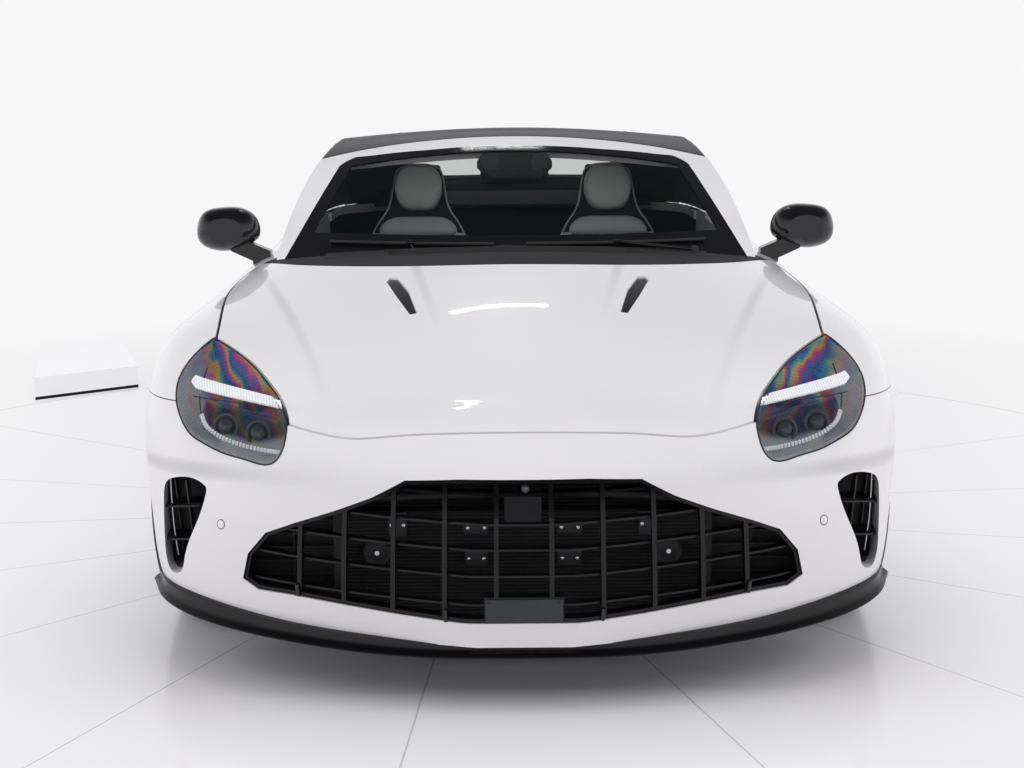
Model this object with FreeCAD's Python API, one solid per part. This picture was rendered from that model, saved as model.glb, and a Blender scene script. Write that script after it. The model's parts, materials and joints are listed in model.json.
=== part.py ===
"""Two-seat roadster convertible with its soft top up, as separate pieces with working joints.

The car stands on the floor with its nose towards -Y and its left side at +X.
The origin is on the floor under the middle of the car. Lengths are in millimetres.
"""
import FreeCAD
import Part
import math
import os
from FreeCAD import Vector

os.makedirs("parts", exist_ok=True)

# Main sizes of the car
wheelbase = 2705.0
front_overhang = 855.0
rear_overhang = 935.0
body_width = 1980.0
tyre_radius = 363.0
arch_gap = 37.0
fender_cover = 37.0
roof_rise = 473.0
front_tyre_width = 275.0
rear_tyre_width = 325.0
front_tyre_inset = 24.0
rear_tyre_inset = 14.0

# Walls, gaps and cutting lengths
panel_wall = 26.0
door_wall = 92.0
glass_wall = 5.0
lens_wall = 5.0
roof_wall = 22.0
frame_wall = 42.0
tub_wall = 24.0
moving_gap = 7.0
seat_gap = 0.3
overrun = 80.0

# Floor tub
tub_nose_y = -2000.0
tub_tail_y = 2080.0
rail_x = 460.0
rail_height = 620.0
firewall_y = -800.0
bulkhead_y = 935.0
cabin_floor_x = 800.0
boot_wall_x = 570.0
boot_floor_z = 430.0
post_x = 750.0
post_depth = 90.0
sill_x = 862.0
tunnel_x = 130.0
tunnel_height = 330.0
lid_lug = 30.0

# Values worked out from the main sizes
length = wheelbase + front_overhang + rear_overhang
half_length = length / 2
half_width = body_width / 2
front_axle = front_overhang - half_length
rear_axle = half_length - rear_overhang
arch_radius = tyre_radius + arch_gap
crest_height = tyre_radius + arch_radius + fender_cover
front_wheel_x = half_width - front_tyre_inset - front_tyre_width / 2
rear_wheel_x = half_width - rear_tyre_inset - rear_tyre_width / 2

# Control net of the lower body, one row for each place along the car.
# A place is -1 at the nose, 0 at the front axle, 1 at the rear axle and 2 at the tail.
# Each row runs from the bottom edge up to the middle, in shares of half_width and crest_height.
body_row_shares = [
    (-1.0, [(.10, .15), (.12, .21), (.13, .31), (.13, .40), (.12, .49), (.10, .55), (.075, .58),
            (.05, .595), (0, .60)]),
    (-.97, [(.19, .15), (.21, .21), (.23, .31), (.235, .42), (.225, .525), (.19, .595), (.145, .63),
            (.09, .65), (0, .655)]),
    (-.92, [(.335, .15), (.36, .21), (.38, .31), (.385, .425), (.375, .54), (.34, .63), (.275, .675),
            (.17, .70), (0, .705)]),
    (-.84, [(.535, .15), (.57, .225), (.59, .325), (.59, .425), (.56, .54), (.50, .625), (.425, .69),
            (.27, .735), (0, .75)]),
    (-.75, [(.70, .15), (.73, .24), (.74, .34), (.735, .45), (.705, .56), (.635, .66), (.54, .73),
            (.36, .785), (0, .80)]),
    (-.64, [(.82, .15), (.86, .25), (.875, .36), (.87, .48), (.845, .60), (.775, .70), (.655, .76),
            (.43, .805), (0, .835)]),
    (-.52, [(.895, .15), (.93, .26), (.935, .375), (.94, .52), (.94, .71), (.84, .86), (.65, .865),
            (.43, .82), (0, .865)]),
    (-.40, [(.92, .15), (.955, .275), (.965, .40), (.98, .58), (.985, .80), (.875, .945), (.685, .93),
            (.46, .865), (0, .90)]),
    (-.22, [(.935, .15), (.97, .275), (.985, .43), (1.005, .66), (1.005, .89), (.885, 1.01), (.70, .985),
            (.48, .925), (0, .955)]),
    (0, [(.94, .15), (.97, .275), (.995, .44), (1.025, .70), (1.02, .93), (.895, 1.045), (.715, 1.01),
         (.50, .98), (0, 1.025)]),
    (.16, [(.93, .15), (.955, .275), (.965, .45), (1.0, .71), (.985, .93), (.88, 1.065), (.715, 1.075),
           (.50, 1.12), (0, 1.17)]),
    (.30, [(.915, .15), (.935, .275), (.935, .46), (.98, .75), (.955, .965), (.845, 1.11), (.705, 1.135),
           (.50, 1.17), (0, 1.20)]),
    (.50, [(.905, .15), (.925, .275), (.92, .475), (.97, .775), (.935, 1.0), (.825, 1.14), (.705, 1.165),
           (.50, 1.185), (0, 1.205)]),
    (.72, [(.915, .15), (.94, .275), (.935, .475), (.98, .80), (.945, 1.02), (.835, 1.15), (.705, 1.18),
           (.50, 1.20), (0, 1.22)]),
    (.86, [(.935, .15), (.965, .275), (.97, .475), (1.018, .81), (.97, 1.035), (.845, 1.15), (.705, 1.175),
           (.50, 1.195), (0, 1.21)]),
    (1, [(.94, .15), (.97, .275), (.99, .475), (1.025, .80), (.97, 1.02), (.845, 1.13), (.705, 1.15),
         (.50, 1.17), (0, 1.19)]),
    (1.3, [(.925, .15), (.95, .275), (.97, .475), (.99, .775), (.945, .985), (.815, 1.09), (.685, 1.11),
           (.50, 1.12), (0, 1.14)]),
    (1.6, [(.88, .15), (.905, .275), (.92, .475), (.94, .75), (.895, .955), (.77, 1.055), (.645, 1.075),
           (.46, 1.085), (0, 1.095)]),
    (1.78, [(.81, .15), (.835, .275), (.85, .475), (.86, .725), (.82, .94), (.71, 1.04), (.605, 1.065),
            (.44, 1.08), (0, 1.09)]),
    (1.9, [(.69, .15), (.71, .275), (.715, .475), (.725, .70), (.70, .91), (.61, 1.02), (.515, 1.05),
           (.37, 1.075), (0, 1.09)]),
    (1.965, [(.54, .15), (.56, .275), (.56, .46), (.56, .65), (.54, .85), (.475, .95), (.405, .995),
             (.28, 1.02), (0, 1.035)]),
    (2.0, [(.345, .15), (.355, .25), (.35, .40), (.35, .56), (.335, .725), (.295, .81), (.24, .85),
           (.16, .875), (0, .89)]),
]
underside_share = .15

# Lengthwise lines of the windscreen and roof: places in shares of half_length and heights in shares of
# roof_rise over the crest. The edge line lies at roof_edge_share of half_width.
roof_middle_shares = [(-.53, -.07), (-.415, .14), (-.23, .54), (-.06, .92), (.01, .985), (.16, 1.03),
                      (.28, .96), (.40, .78), (.50, .58), (.60, .38), (.66, .24)]
roof_edge_shares = [(-.44, -.07), (-.33, .15), (-.17, .50), (-.02, .785), (.04, .875), (.16, .93),
                    (.28, .865), (.40, .67), (.50, .46), (.60, .26), (.66, .12)]
roof_edge_share = .70
roof_reach_share = .95

# Side glass and soft top sides: half width at the belt for places along the car, and lean for heights.
side_plan_shares = [(-.45, .74), (-.30, .785), (-.15, .80), (.05, .81), (.25, .81), (.45, .785),
                    (.60, .72), (.72, .62)]
side_lean_shares = [(-.15, .03), (.10, 0), (.40, -.035), (.70, -.085), (.90, -.15), (1.10, -.24)]


def place(share):
    """Distance along the car of a place share."""
    if share < 0:
        return front_axle + share * front_overhang
    if share < 1:
        return front_axle + share * wheelbase
    return rear_axle + (share - 1) * rear_overhang


def net_surface(rows):
    """Smooth cubic surface over a control net."""
    u_spans = len(rows) - 3
    v_spans = len(rows[0]) - 3
    surface = Part.BSplineSurface()
    surface.buildFromPolesMultsKnots(
        rows,
        [4] + [1] * (u_spans - 1) + [4],
        [4] + [1] * (v_spans - 1) + [4],
        list(range(u_spans + 1)),
        list(range(v_spans + 1)),
        False, False, 3, 3)
    return surface


def body_solid(inset):
    """Whole lower body as one solid, drawn in by an inset."""
    wide = half_width - inset
    tall = crest_height - inset
    stretch = (half_length - inset) / half_length
    drop = overrun if inset > 0 else 0
    rows = []
    for share, points in body_row_shares:
        row = [Vector(x * wide, place(share) * stretch, z * tall) for x, z in points]
        row[0].z -= drop
        rows.append(row + [Vector(-p.x, p.y, p.z) for p in reversed(row[:-1])])
    skin = net_surface(rows).toShape()
    faces = [skin]
    sides = []
    for edge in skin.Edges:
        ends = edge.valueAt(edge.FirstParameter), edge.valueAt(edge.LastParameter)
        if abs(ends[0].y - ends[1].y) > half_length:
            sides.append(edge)
        else:
            line = Part.makeLine(ends[0], ends[1])
            sides.append(line)
            faces.append(Part.Face(Part.Wire([edge, line])))
    faces.append(Part.Face(Part.Wire(Part.__sortEdges__(sides))))
    shell = Part.makeShell(faces)
    shell.sewShape()
    solid = Part.makeSolid(shell)
    if solid.Volume < 0:
        solid.reverse()
    return solid


def mirrored(shape):
    """The same shape on the other side of the car."""
    return shape.mirror(Vector(0, 0, 0), Vector(1, 0, 0))


def both(shape):
    """A left shape together with its mirror image."""
    return Part.makeCompound([shape, mirrored(shape)])


def box(x0, x1, y0, y1, z0, z1):
    """Box between two corners."""
    return Part.makeBox(x1 - x0, y1 - y0, z1 - z0, Vector(x0, y0, z0))


def turned(radius, low, high, y, z):
    """Cylinder along the axle direction, from low to high across the car."""
    return Part.makeCylinder(radius, high - low, Vector(low, y, z), Vector(1, 0, 0))


def front_point(x, z):
    """Point of an outline seen from the front."""
    return Vector(x, -half_length - overrun, z)


def side_point(y, z):
    """Point of an outline seen from the side."""
    return Vector(0, y, z)


def plan_point(x, y):
    """Point of an outline seen from above."""
    return Vector(x, y, 0)


def outline(points, smooth=False):
    """Closed wire through points, straight from one to the next or as one smooth curve."""
    if smooth:
        curve = Part.BSplineCurve()
        curve.interpolate(points, PeriodicFlag=True)
        return Part.Wire(curve.toShape())
    return Part.makePolygon(points + [points[0]])


def widened(points, gap):
    """Closed flat outline with each of its points moved outward by a gap."""
    area = Vector(0, 0, 0)
    for index, point in enumerate(points):
        area += points[index - 1].cross(point)
    normal = area.normalize()
    moved = []
    for index, point in enumerate(points):
        ahead = points[(index + 1) % len(points)] - point
        behind = point - points[index - 1]
        out_ahead = ahead.normalize().cross(normal)
        out_behind = behind.normalize().cross(normal)
        moved.append(point + (out_ahead + out_behind) * (gap / (1 + out_ahead.dot(out_behind))))
    return moved


def run(points):
    """Smooth open edge through points."""
    curve = Part.BSplineCurve()
    curve.interpolate(points)
    return curve.toShape()


def mirrored_run(points):
    """Smooth edge through points from the middle outward, with its mirror image."""
    back = [Vector(-p.x, p.y, p.z) for p in reversed(points[1:])]
    return run(back + points)


def prism(wire, direction):
    """Solid swept from a closed flat wire."""
    return Part.Face(wire).extrude(direction)


def front_outline(shares):
    """Front view points from shares of half_width and crest_height."""
    return [front_point(x * half_width, z * crest_height) for x, z in shares]


def side_outline(shares):
    """Side view points from shares of half_length and crest_height."""
    return [side_point(y * half_length, z * crest_height) for y, z in shares]


def plan_outline(shares):
    """Plan points from shares of half_width and half_length."""
    return [plan_point(x * half_width, y * half_length) for x, y in shares]


def reflected(points):
    """Points of a symmetric outline, from the middle out on one side and back on the other."""
    back = [Vector(-p.x, p.y, p.z) for p in reversed(points) if abs(p.x) > seat_gap]
    return points + back


# Outlines seen from the front, in shares of half_width and crest_height
grille_shares = [(0, .68), (.15, .68), (.277, .672), (.357, .62), (.447, .574), (.546, .528), (.618, .49),
                 (.665, .42), (.68, .34), (.64, .312), (.552, .309), (.415, .294), (.283, .28), (.15, .27),
                 (0, .27)]
headlight_shares = [(.588, .70), (.605, .682), (.67, .684), (.738, .696), (.787, .715), (.827, .737),
                    (.858, .78),
                    (.876, .83), (.877, .88), (.86, .925), (.80, .99), (.66, 1.0), (.58, .90), (.576, .78)]
duct_shares = [(.78, .60), (.80, .612), (.86, .61), (.89, .59), (.90, .54), (.902, .40), (.898, .335),
               (.883, .305),
               (.862, .31), (.84, .37), (.805, .48), (.778, .57)]
bumper_low_shares = [(0, .199), (.35, .199), (.55, .217), (.73, .235), (.85, .246), (.96, .265)]
splitter_low_shares = [(0, .158), (.35, .158), (.55, .176), (.78, .181), (.89, .195), (.96, .225)]

# Outlines seen from above, in shares of half_width and half_length
bonnet_front_shares = [(0, -.912), (.15, -.911), (.303, -.908), (.408, -.903), (.49, -.885), (.572, -.861)]
bonnet_lamp_shares = [(.572, -.861), (.584, -.84), (.60, -.823), (.63, -.803), (.675, -.774), (.74, -.741),
                      (.80, -.712)]
bonnet_side_shares = [(.80, -.712), (.832, -.578), (.855, -.423), (.815, -.291)]
bonnet_rear_shares = [(0, -.438), (.303, -.427), (.555, -.389), (.727, -.336), (.815, -.291)]
cabin_front_shares = [(0, -.375), (.30, -.365), (.55, -.33), (.68, -.295), (.72, -.26)]
splitter_plan_shares = [(0, -1), (.20, -.997), (.35, -.978), (.55, -.952), (.785, -.903), (.893, -.859),
                        (.955, -.80)]

cabin_side_share = .72
cabin_rear_share = .44
deck_side_share = .64
deck_rear_share = .655
boot_side_share = .60
boot_low_share = .87
bumper_top_share = .825
sill_share = .29
skirt_low_share = .19
floor_share = .165

# Door hinge, leaning inward towards its top so that the door rises as it opens
door_hinge_y = -560.0
door_hinge_inset = 69.0
door_hinge_lean = 4.0
door_front_radius = 100.0
door_rear_radius = 1165.0

hinge_direction = Vector(-math.sin(math.radians(door_hinge_lean)), 0,
                         math.cos(math.radians(door_hinge_lean)))
hinge_foot = Vector(half_width - door_hinge_inset, door_hinge_y, 0)
floor_low = floor_share * crest_height
sill_height = sill_share * crest_height
belt_x = cabin_side_share * half_width
cabin_rear = cabin_rear_share * half_length


def tall_prism(wire):
    """Solid over a plan outline, higher and lower than the body."""
    wire.translate(Vector(0, 0, -overrun))
    return prism(wire, Vector(0, 0, 2 * crest_height))


def long_prism(wire):
    """Solid behind a front view outline, longer than the car."""
    return prism(wire, Vector(0, 2 * half_length + 2 * overrun, 0))


def bonnet_region(gap):
    """Space over the bonnet's plan outline, widened by a gap."""
    chains = [plan_outline(shares) for shares in (bonnet_front_shares, bonnet_lamp_shares,
                                                  bonnet_side_shares)]
    chains.append(list(reversed(plan_outline(bonnet_rear_shares))))
    half = chains[0] + [point for chain in chains[1:] for point in chain[1:]]
    half = widened(reflected(half), gap)[:len(half)]
    half[0].x = 0
    half[-1].x = 0
    edges = []
    start = 0
    for chain in chains:
        part = half[start:start + len(chain)]
        start += len(chain) - 1
        if part[0].x == 0:
            edges.append(mirrored_run(part))
        elif part[-1].x == 0:
            edges.append(mirrored_run(list(reversed(part))))
        else:
            edges += [run(part), mirrored(run(part)).Edges[0]]
    return tall_prism(Part.Wire(Part.__sortEdges__(edges)))


def cabin_region():
    """Space over the cabin opening in the top of the body."""
    front = plan_outline(cabin_front_shares)
    corners = [plan_point(belt_x, cabin_rear), plan_point(0, cabin_rear)]
    return tall_prism(outline(reflected(front + corners)))


def door_region(gap):
    """Space of the left door about its hinge, widened by a gap."""
    base = hinge_foot - hinge_direction * overrun
    height = 2 * crest_height
    front = Part.makeCylinder(door_front_radius + gap, height, base, hinge_direction)
    sweep = Part.makeCylinder(door_rear_radius + gap, height, base, hinge_direction)
    low = sill_height + moving_gap - gap
    beyond = box(0, body_width, door_hinge_y - gap, half_length, low, height)
    return sweep.common(beyond).fuse(front.common(box(0, body_width, -half_length, half_length, low,
                                                      height)))


def wheel_arches(gap):
    """Round openings over the four wheels."""
    arches = []
    for y, low in ((front_axle, rail_x), (rear_axle, boot_wall_x)):
        arch = turned(arch_radius + gap, low, body_width, y, tyre_radius)
        arches += [arch, mirrored(arch)]
    return arches


def roof_surface(drop):
    """Windscreen, roof and rear slope as one smooth surface, lowered by a drop."""
    rows = []
    for (mid_y, mid_z), (edge_y, edge_z) in zip(roof_middle_shares, roof_edge_shares):
        row = []
        for step in range(-3, 4):
            share = step / 3 * roof_reach_share
            blend = (share / roof_edge_share) ** 2
            y = mid_y + (edge_y - mid_y) * blend
            z = mid_z + (edge_z - mid_z) * blend
            row.append(Vector(share * half_width, y * half_length, crest_height + z * roof_rise - drop))
        rows.append(row)
    return net_surface(rows).toShape()


def side_surface(drop):
    """Left side glass and soft top side as one smooth surface, drawn in by a drop."""
    rows = []
    for y, x in side_plan_shares:
        rows.append([Vector((x + lean) * half_width - drop, y * half_length, crest_height + z * roof_rise)
                     for z, lean in side_lean_shares])
    return net_surface(rows).toShape()


def canopy_solid(inset):
    """Everything under the windscreen, side glass and soft top as one solid, drawn in by an inset."""
    under = roof_surface(inset).extrude(Vector(0, 0, -roof_rise))
    left = side_surface(inset).extrude(Vector(-2 * body_width, 0, 0))
    return under.common(left).common(mirrored(left))


outer = body_solid(0)
inner = body_solid(panel_wall)
skin = outer.cut(inner)
canopy = canopy_solid(0)
left_half = box(0, body_width, -length, length, -overrun, 2 * crest_height)


def save(name, shape):
    """Write one piece to its file."""
    if shape.ShapeType == "Compound" and len(shape.Solids) == 1:
        shape = shape.Solids[0]
    shape.exportStep("parts/" + name + ".step")


def pair(name, shape):
    """Write a left piece and its mirror image."""
    save(name + "_left", shape)
    save(name + "_right", mirrored(shape))


def less(shape, *tools):
    """Shape with tools cut away, one after the other."""
    for tool in tools:
        shape = shape.cut(tool)
    return shape


def shell_between(outer_inset, inner_inset):
    """Layer of the lower body between two insets."""
    return body_solid(outer_inset).cut(body_solid(inner_inset))


# Regions that bound the body panels
bonnet_space = bonnet_region(0)
bonnet_clear = bonnet_region(moving_gap)
lamp_space = long_prism(outline(front_outline(headlight_shares), True)).common(
    box(-body_width, body_width, -length, front_axle, 0, 2 * crest_height))
lamp_clear = less(lamp_space, bonnet_clear)
grille_space = long_prism(outline(reflected(front_outline(grille_shares)), False)).common(
    box(-body_width, body_width, -length, front_axle, 0, 2 * crest_height))
duct_space = long_prism(outline(front_outline(duct_shares), True)).common(
    box(-body_width, body_width, -length, front_axle, 0, 2 * crest_height))
cabin_space = cabin_region()
door_space = door_region(0)
door_clear = door_region(moving_gap)
cowl_space = box(-bonnet_side_shares[-1][0] * half_width, bonnet_side_shares[-1][0] * half_width,
                 bonnet_rear_shares[0][1] * half_length - overrun, door_hinge_y - moving_gap,
                 sill_height, 2 * crest_height)
deck_x = deck_side_share * half_width
deck_end = deck_rear_share * half_length
deck_space = box(-deck_x, deck_x, cabin_rear, deck_end, sill_height, 2 * crest_height)
boot_x = boot_side_share * half_width
boot_low = boot_low_share * crest_height
boot_space = box(-boot_x, boot_x, deck_end + moving_gap, length, boot_low, 2 * crest_height)
boot_clear = box(-boot_x - moving_gap, boot_x + moving_gap, deck_end, length,
                 boot_low - moving_gap, 2 * crest_height)
bumper_top = bumper_top_share * crest_height
rear_bumper_top = boot_low - moving_gap
arches = wheel_arches(0)
middle = (front_axle + rear_axle) / 2


def lower_edge_space(shares, depth):
    """Space under a line seen from the front."""
    points = front_outline(shares)
    ends = [front_point(points[-1].x, -depth), front_point(0, -depth)]
    return long_prism(outline(reflected(points + ends)))


def make_front_bumper():
    """Bumper cover with the grille and duct openings."""
    region = box(-body_width, body_width, -length, front_axle, 0, bumper_top)
    cover = skin.common(region)
    tools = arches + [bonnet_clear, lamp_space, mirrored(lamp_space), grille_space, duct_space,
                      mirrored(duct_space), lower_edge_space(bumper_low_shares, overrun)]
    save("front_bumper", less(cover, *tools))


def make_fenders():
    """Front fenders from the lamps to the doors."""
    region = box(0, body_width, -length, middle, sill_height, 2 * crest_height)
    ahead = box(0, body_width, -length, front_axle, 0, bumper_top)
    cover = skin.common(region)
    pair("front_fender", less(cover, ahead, bonnet_clear, lamp_space, cowl_space, cabin_space, door_clear,
                              *arches))


def make_cowl():
    """Scuttle under the windscreen."""
    save("cowl", less(skin.common(cowl_space), bonnet_clear, cabin_space, door_clear, mirrored(door_clear)))


def make_doors():
    """Doors as thick as the whole door."""
    layer = outer.cut(body_solid(door_wall))
    region = box(belt_x + moving_gap, body_width, -half_length, half_length, 0, 2 * crest_height)
    door = layer.common(region).common(door_space)
    pair("door", door)


def make_skirts():
    """Side skirts between the wheel arches."""
    region = box(0, body_width, front_axle, rear_axle, skirt_low_share * crest_height, sill_height)
    save("side_skirts", both(less(skin.common(region), *arches)))


def make_quarters():
    """Rear quarter panels."""
    region = box(0, body_width, middle, length, sill_height, 2 * crest_height)
    low = box(0, body_width, rear_axle, length, 0, rear_bumper_top)
    cover = skin.common(region)
    pair("quarter_panel", less(cover, low, door_clear, cabin_space, deck_space, boot_clear, *arches))


def make_rear_panels():
    """Deck behind the cabin and boot lid."""
    save("rear_deck", less(skin.common(deck_space), cabin_space))
    save("boot_lid", skin.common(boot_space))


# Windscreen, side glass and soft top
# Seen from above in shares of half_width and half_length, and from the side in half_length and crest_height
screen_top_shares = [(0, -.056), (.30, -.05), (.50, -.038), (.60, -.026)]
screen_foot_shares = [(.745, -.30), (.745, -.60), (0, -.60)]
rear_window_shares = [(0, .345), (.30, .348), (.37, .36), (.44, .49), (.41, .51), (0, .515)]
side_window_shares = [(-.262, 1.10), (-.165, 1.245), (-.03, 1.40), (.045, 1.445), (.13, 1.435),
                      (.215, 1.37), (.27, 1.28)]
side_window_rear_share = .283
header_rear_share = -.007
belt_share = 1.0


def side_window_space(gap):
    """Space of the left side window seen from the side, widened by a gap."""
    points = side_outline(side_window_shares)
    low = belt_share * crest_height
    rear = side_window_rear_share * half_length
    points = widened(points + [side_point(rear, low), side_point(points[0].y, low)], gap)
    corners = [points[-3], points[-2], points[-1], points[0]]
    edges = [Part.makeLine(*ends) for ends in zip(corners, corners[1:])]
    return prism(Part.Wire([run(points[:-2])] + edges), Vector(body_width, 0, 0))


def make_greenhouse():
    """Windscreen and its frame, side glass, rear window and soft top."""
    ground = body_solid(-seat_gap)
    glass_plan = tall_prism(outline(reflected(plan_outline(screen_top_shares + screen_foot_shares))))
    glass_plan.translate(Vector(0, 0, roof_rise))
    header_rear = header_rear_share * half_length
    window = side_window_space(0)
    window_clear = side_window_space(moving_gap)
    sides_clear = [window_clear, mirrored(window_clear)]
    ahead = box(-body_width, body_width, -length, header_rear, 0, 2 * crest_height)
    behind = box(-body_width, body_width, header_rear, length, 0, 2 * crest_height)
    below = box(-body_width, body_width, side_window_shares[0][0] * half_length, length, 0, crest_height)
    frame = canopy.cut(canopy_solid(frame_wall)).common(ahead)
    save("windscreen_frame", less(frame, glass_plan, ground, below, *sides_clear))
    screen = canopy.cut(roof_surface(glass_wall).extrude(Vector(0, 0, -roof_rise))).common(glass_plan)
    save("windscreen_glass", less(screen.common(ahead), ground))
    side_glass = canopy.cut(side_surface(glass_wall).extrude(Vector(-2 * body_width, 0, 0)))
    pair("door_glass", less(side_glass.common(window), ground))
    rear_plan = tall_prism(outline(reflected(plan_outline(rear_window_shares))))
    rear_plan.translate(Vector(0, 0, roof_rise))
    roof = canopy.cut(canopy_solid(roof_wall)).common(behind)
    save("soft_top", less(roof, ground, rear_plan, *sides_clear))
    pane = canopy.cut(roof_surface(glass_wall).extrude(Vector(0, 0, -roof_rise))).common(rear_plan)
    save("rear_window", pane)



def make_floor_tub():
    """Floor with its sills, centre tunnel, and the frames that carry the engine bay and the boot."""
    top = floor_low + tub_wall
    roof = 2 * crest_height
    pieces = [
        box(-rail_x, rail_x, tub_nose_y, firewall_y, floor_low, top),
        box(-cabin_floor_x, cabin_floor_x, firewall_y, bulkhead_y, floor_low, top),
        box(-cabin_floor_x, cabin_floor_x, firewall_y - tub_wall, firewall_y, floor_low, roof),
        box(-cabin_floor_x, cabin_floor_x, bulkhead_y, bulkhead_y + tub_wall, floor_low, roof),
        box(-boot_wall_x, boot_wall_x, bulkhead_y + tub_wall, tub_tail_y, floor_low, top),
        box(-boot_wall_x, boot_wall_x, bulkhead_y, tub_tail_y, boot_floor_z, boot_floor_z + tub_wall),
        box(-boot_wall_x, boot_wall_x, tub_tail_y - tub_wall, tub_tail_y, floor_low,
            rear_bumper_top - overrun),
        box(-tunnel_x, tunnel_x, firewall_y, bulkhead_y, top, tunnel_height)]
    for side in (-1, 1):
        rail = sorted((side * (rail_x - tub_wall), side * rail_x))
        wall = sorted((side * (boot_wall_x - tub_wall), side * boot_wall_x))
        sill = sorted((side * (cabin_floor_x - tub_wall), side * sill_x))
        post = sorted((side * (post_x - post_depth), side * post_x))
        pieces += [
            box(rail[0], rail[1], tub_nose_y, firewall_y, floor_low, rail_height),
            box(wall[0], wall[1], bulkhead_y, tub_tail_y, floor_low, roof),
            box(sill[0], sill[1], firewall_y, bulkhead_y, floor_low, sill_height - seat_gap),
            box(post[0], post[1], firewall_y, firewall_y + post_depth, floor_low, roof)]
    tub = pieces[0].fuse(pieces[1:]).removeSplitter()
    tunnel = box(-tunnel_x + tub_wall, tunnel_x - tub_wall, firewall_y - overrun, bulkhead_y + overrun,
                 floor_low - overrun, tunnel_height - tub_wall)
    within = body_solid(panel_wall + seat_gap)
    boot_way = box(-boot_wall_x + tub_wall, boot_wall_x - tub_wall, bulkhead_y + tub_wall,
                   tub_tail_y - tub_wall,
                   boot_floor_z + tub_wall, roof)
    swing = door_region(moving_gap)
    lids = bonnet_clear.fuse(boot_clear).common(shell_between(-moving_gap, panel_wall + moving_gap))
    lids = less(lids, box(-rail_x, rail_x, tub_nose_y, tub_nose_y + lid_lug, 0, crest_height),
                box(-boot_wall_x, boot_wall_x, deck_end + moving_gap, deck_end + moving_gap + lid_lug, 0,
                    2 * crest_height))
    tub = less(tub.common(within), lids, tunnel, boot_way, swing, mirrored(swing), *wheel_arches(moving_gap))
    nose = box(-body_width, body_width, -length, firewall_y, 0, 2 * crest_height)
    tail = box(-body_width, body_width, bulkhead_y, length, 0, 2 * crest_height)
    spine = box(-tunnel_x, tunnel_x, firewall_y, bulkhead_y, 0, 2 * crest_height)
    save("front_frame", tub.common(nose))
    save("rear_frame", tub.common(tail))
    save("centre_tunnel", tub.common(spine))
    save("floor_pan", less(tub, nose, tail, spine))


# Wheels
rim_radius = 262.0
rim_wall = 9.0
rim_flange = 9.0
hub_radius = 78.0
hub_depth = 46.0
hub_offset = 30.0
stub_radius = 30.0
rim_share = .93
spoke_count = 10
spoke_wall = 22.0
spoke_root_width = 46.0
spoke_tip_width = 30.0
disc_radius = 190.0
disc_inner_radius = 110.0
disc_wall = 34.0
disc_offset = 50.0
bell_wall = 9.0
tyre_profile_shares = [(-1, .45), (-.95, .82), (-.76, 1), (.76, 1), (.95, .82), (1, .45)]


def turned_profile(points):
    """Solid turned about the axle direction from points of reach and radius."""
    wire = Part.makePolygon([Vector(x, 0, r) for x, r in points + [points[0]]])
    return Part.Face(wire).revolve(Vector(0, 0, 0), Vector(1, 0, 0), 360)


def make_tyre(width):
    """Tyre about the origin."""
    height = tyre_radius - rim_radius
    bead = rim_share * width / 2 - rim_wall - seat_gap
    bead_top = rim_radius + rim_flange + seat_gap
    crown = [(x * width / 2, rim_radius + r * height) for x, r in tyre_profile_shares]
    return turned_profile([(-bead, rim_radius), (-bead, bead_top)] + crown + [(bead, bead_top),
                                                                              (bead, rim_radius)])


def make_wheel(width):
    """Wheel with its spokes, hub and brake disc about the origin, outer face towards +X."""
    reach = rim_share * width / 2
    barrel = turned_profile([
        (-reach, rim_radius + rim_flange), (-reach + rim_wall, rim_radius + rim_flange),
        (-reach + rim_wall, rim_radius),
        (reach - rim_wall, rim_radius), (reach - rim_wall, rim_radius + rim_flange),
        (reach, rim_radius + rim_flange),
        (reach, rim_radius - rim_wall), (-reach, rim_radius - rim_wall)])
    face = reach - rim_wall
    dish = turned_profile([(hub_offset + spoke_wall, 0), (hub_offset + spoke_wall, hub_radius),
                           (face, rim_radius - rim_wall), (face - spoke_wall, rim_radius - rim_wall),
                           (hub_offset, hub_radius), (hub_offset, 0)])
    spokes = []
    for index in range(spoke_count):
        blade = outline([Vector(0, -spoke_root_width / 2, 0), Vector(0, spoke_root_width / 2, 0),
                         Vector(0, spoke_tip_width / 2, rim_radius),
                         Vector(0, -spoke_tip_width / 2, rim_radius)])
        blade.rotate(Vector(0, 0, 0), Vector(1, 0, 0), index * 360 / spoke_count)
        spokes.append(prism(blade, Vector(width, 0, 0)))
    hub = Part.makeCylinder(hub_radius, hub_depth, Vector(hub_offset - disc_offset / 2, 0, 0),
                            Vector(1, 0, 0))
    star = dish.common(spokes[0].fuse(spokes[1:]))
    disc_face = -disc_offset
    disc = turned_profile([(disc_face, disc_inner_radius), (disc_face + disc_wall, disc_inner_radius),
                           (disc_face + disc_wall, disc_radius), (disc_face, disc_radius)])
    bell = turned_profile([(disc_face, disc_inner_radius + seat_gap),
                           (disc_face, disc_inner_radius - bell_wall),
                           (hub_offset - disc_offset / 2 - bell_wall, disc_inner_radius - bell_wall),
                           (hub_offset - disc_offset / 2 - bell_wall, 0), (hub_offset - disc_offset / 2, 0),
                           (hub_offset - disc_offset / 2, disc_inner_radius + seat_gap)])
    wheel = barrel.fuse([star, hub, disc, bell])
    bore = Part.makeCylinder(stub_radius, 2 * width, Vector(-width, 0, 0), Vector(1, 0, 0))
    return wheel.cut(bore).removeSplitter()


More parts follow.
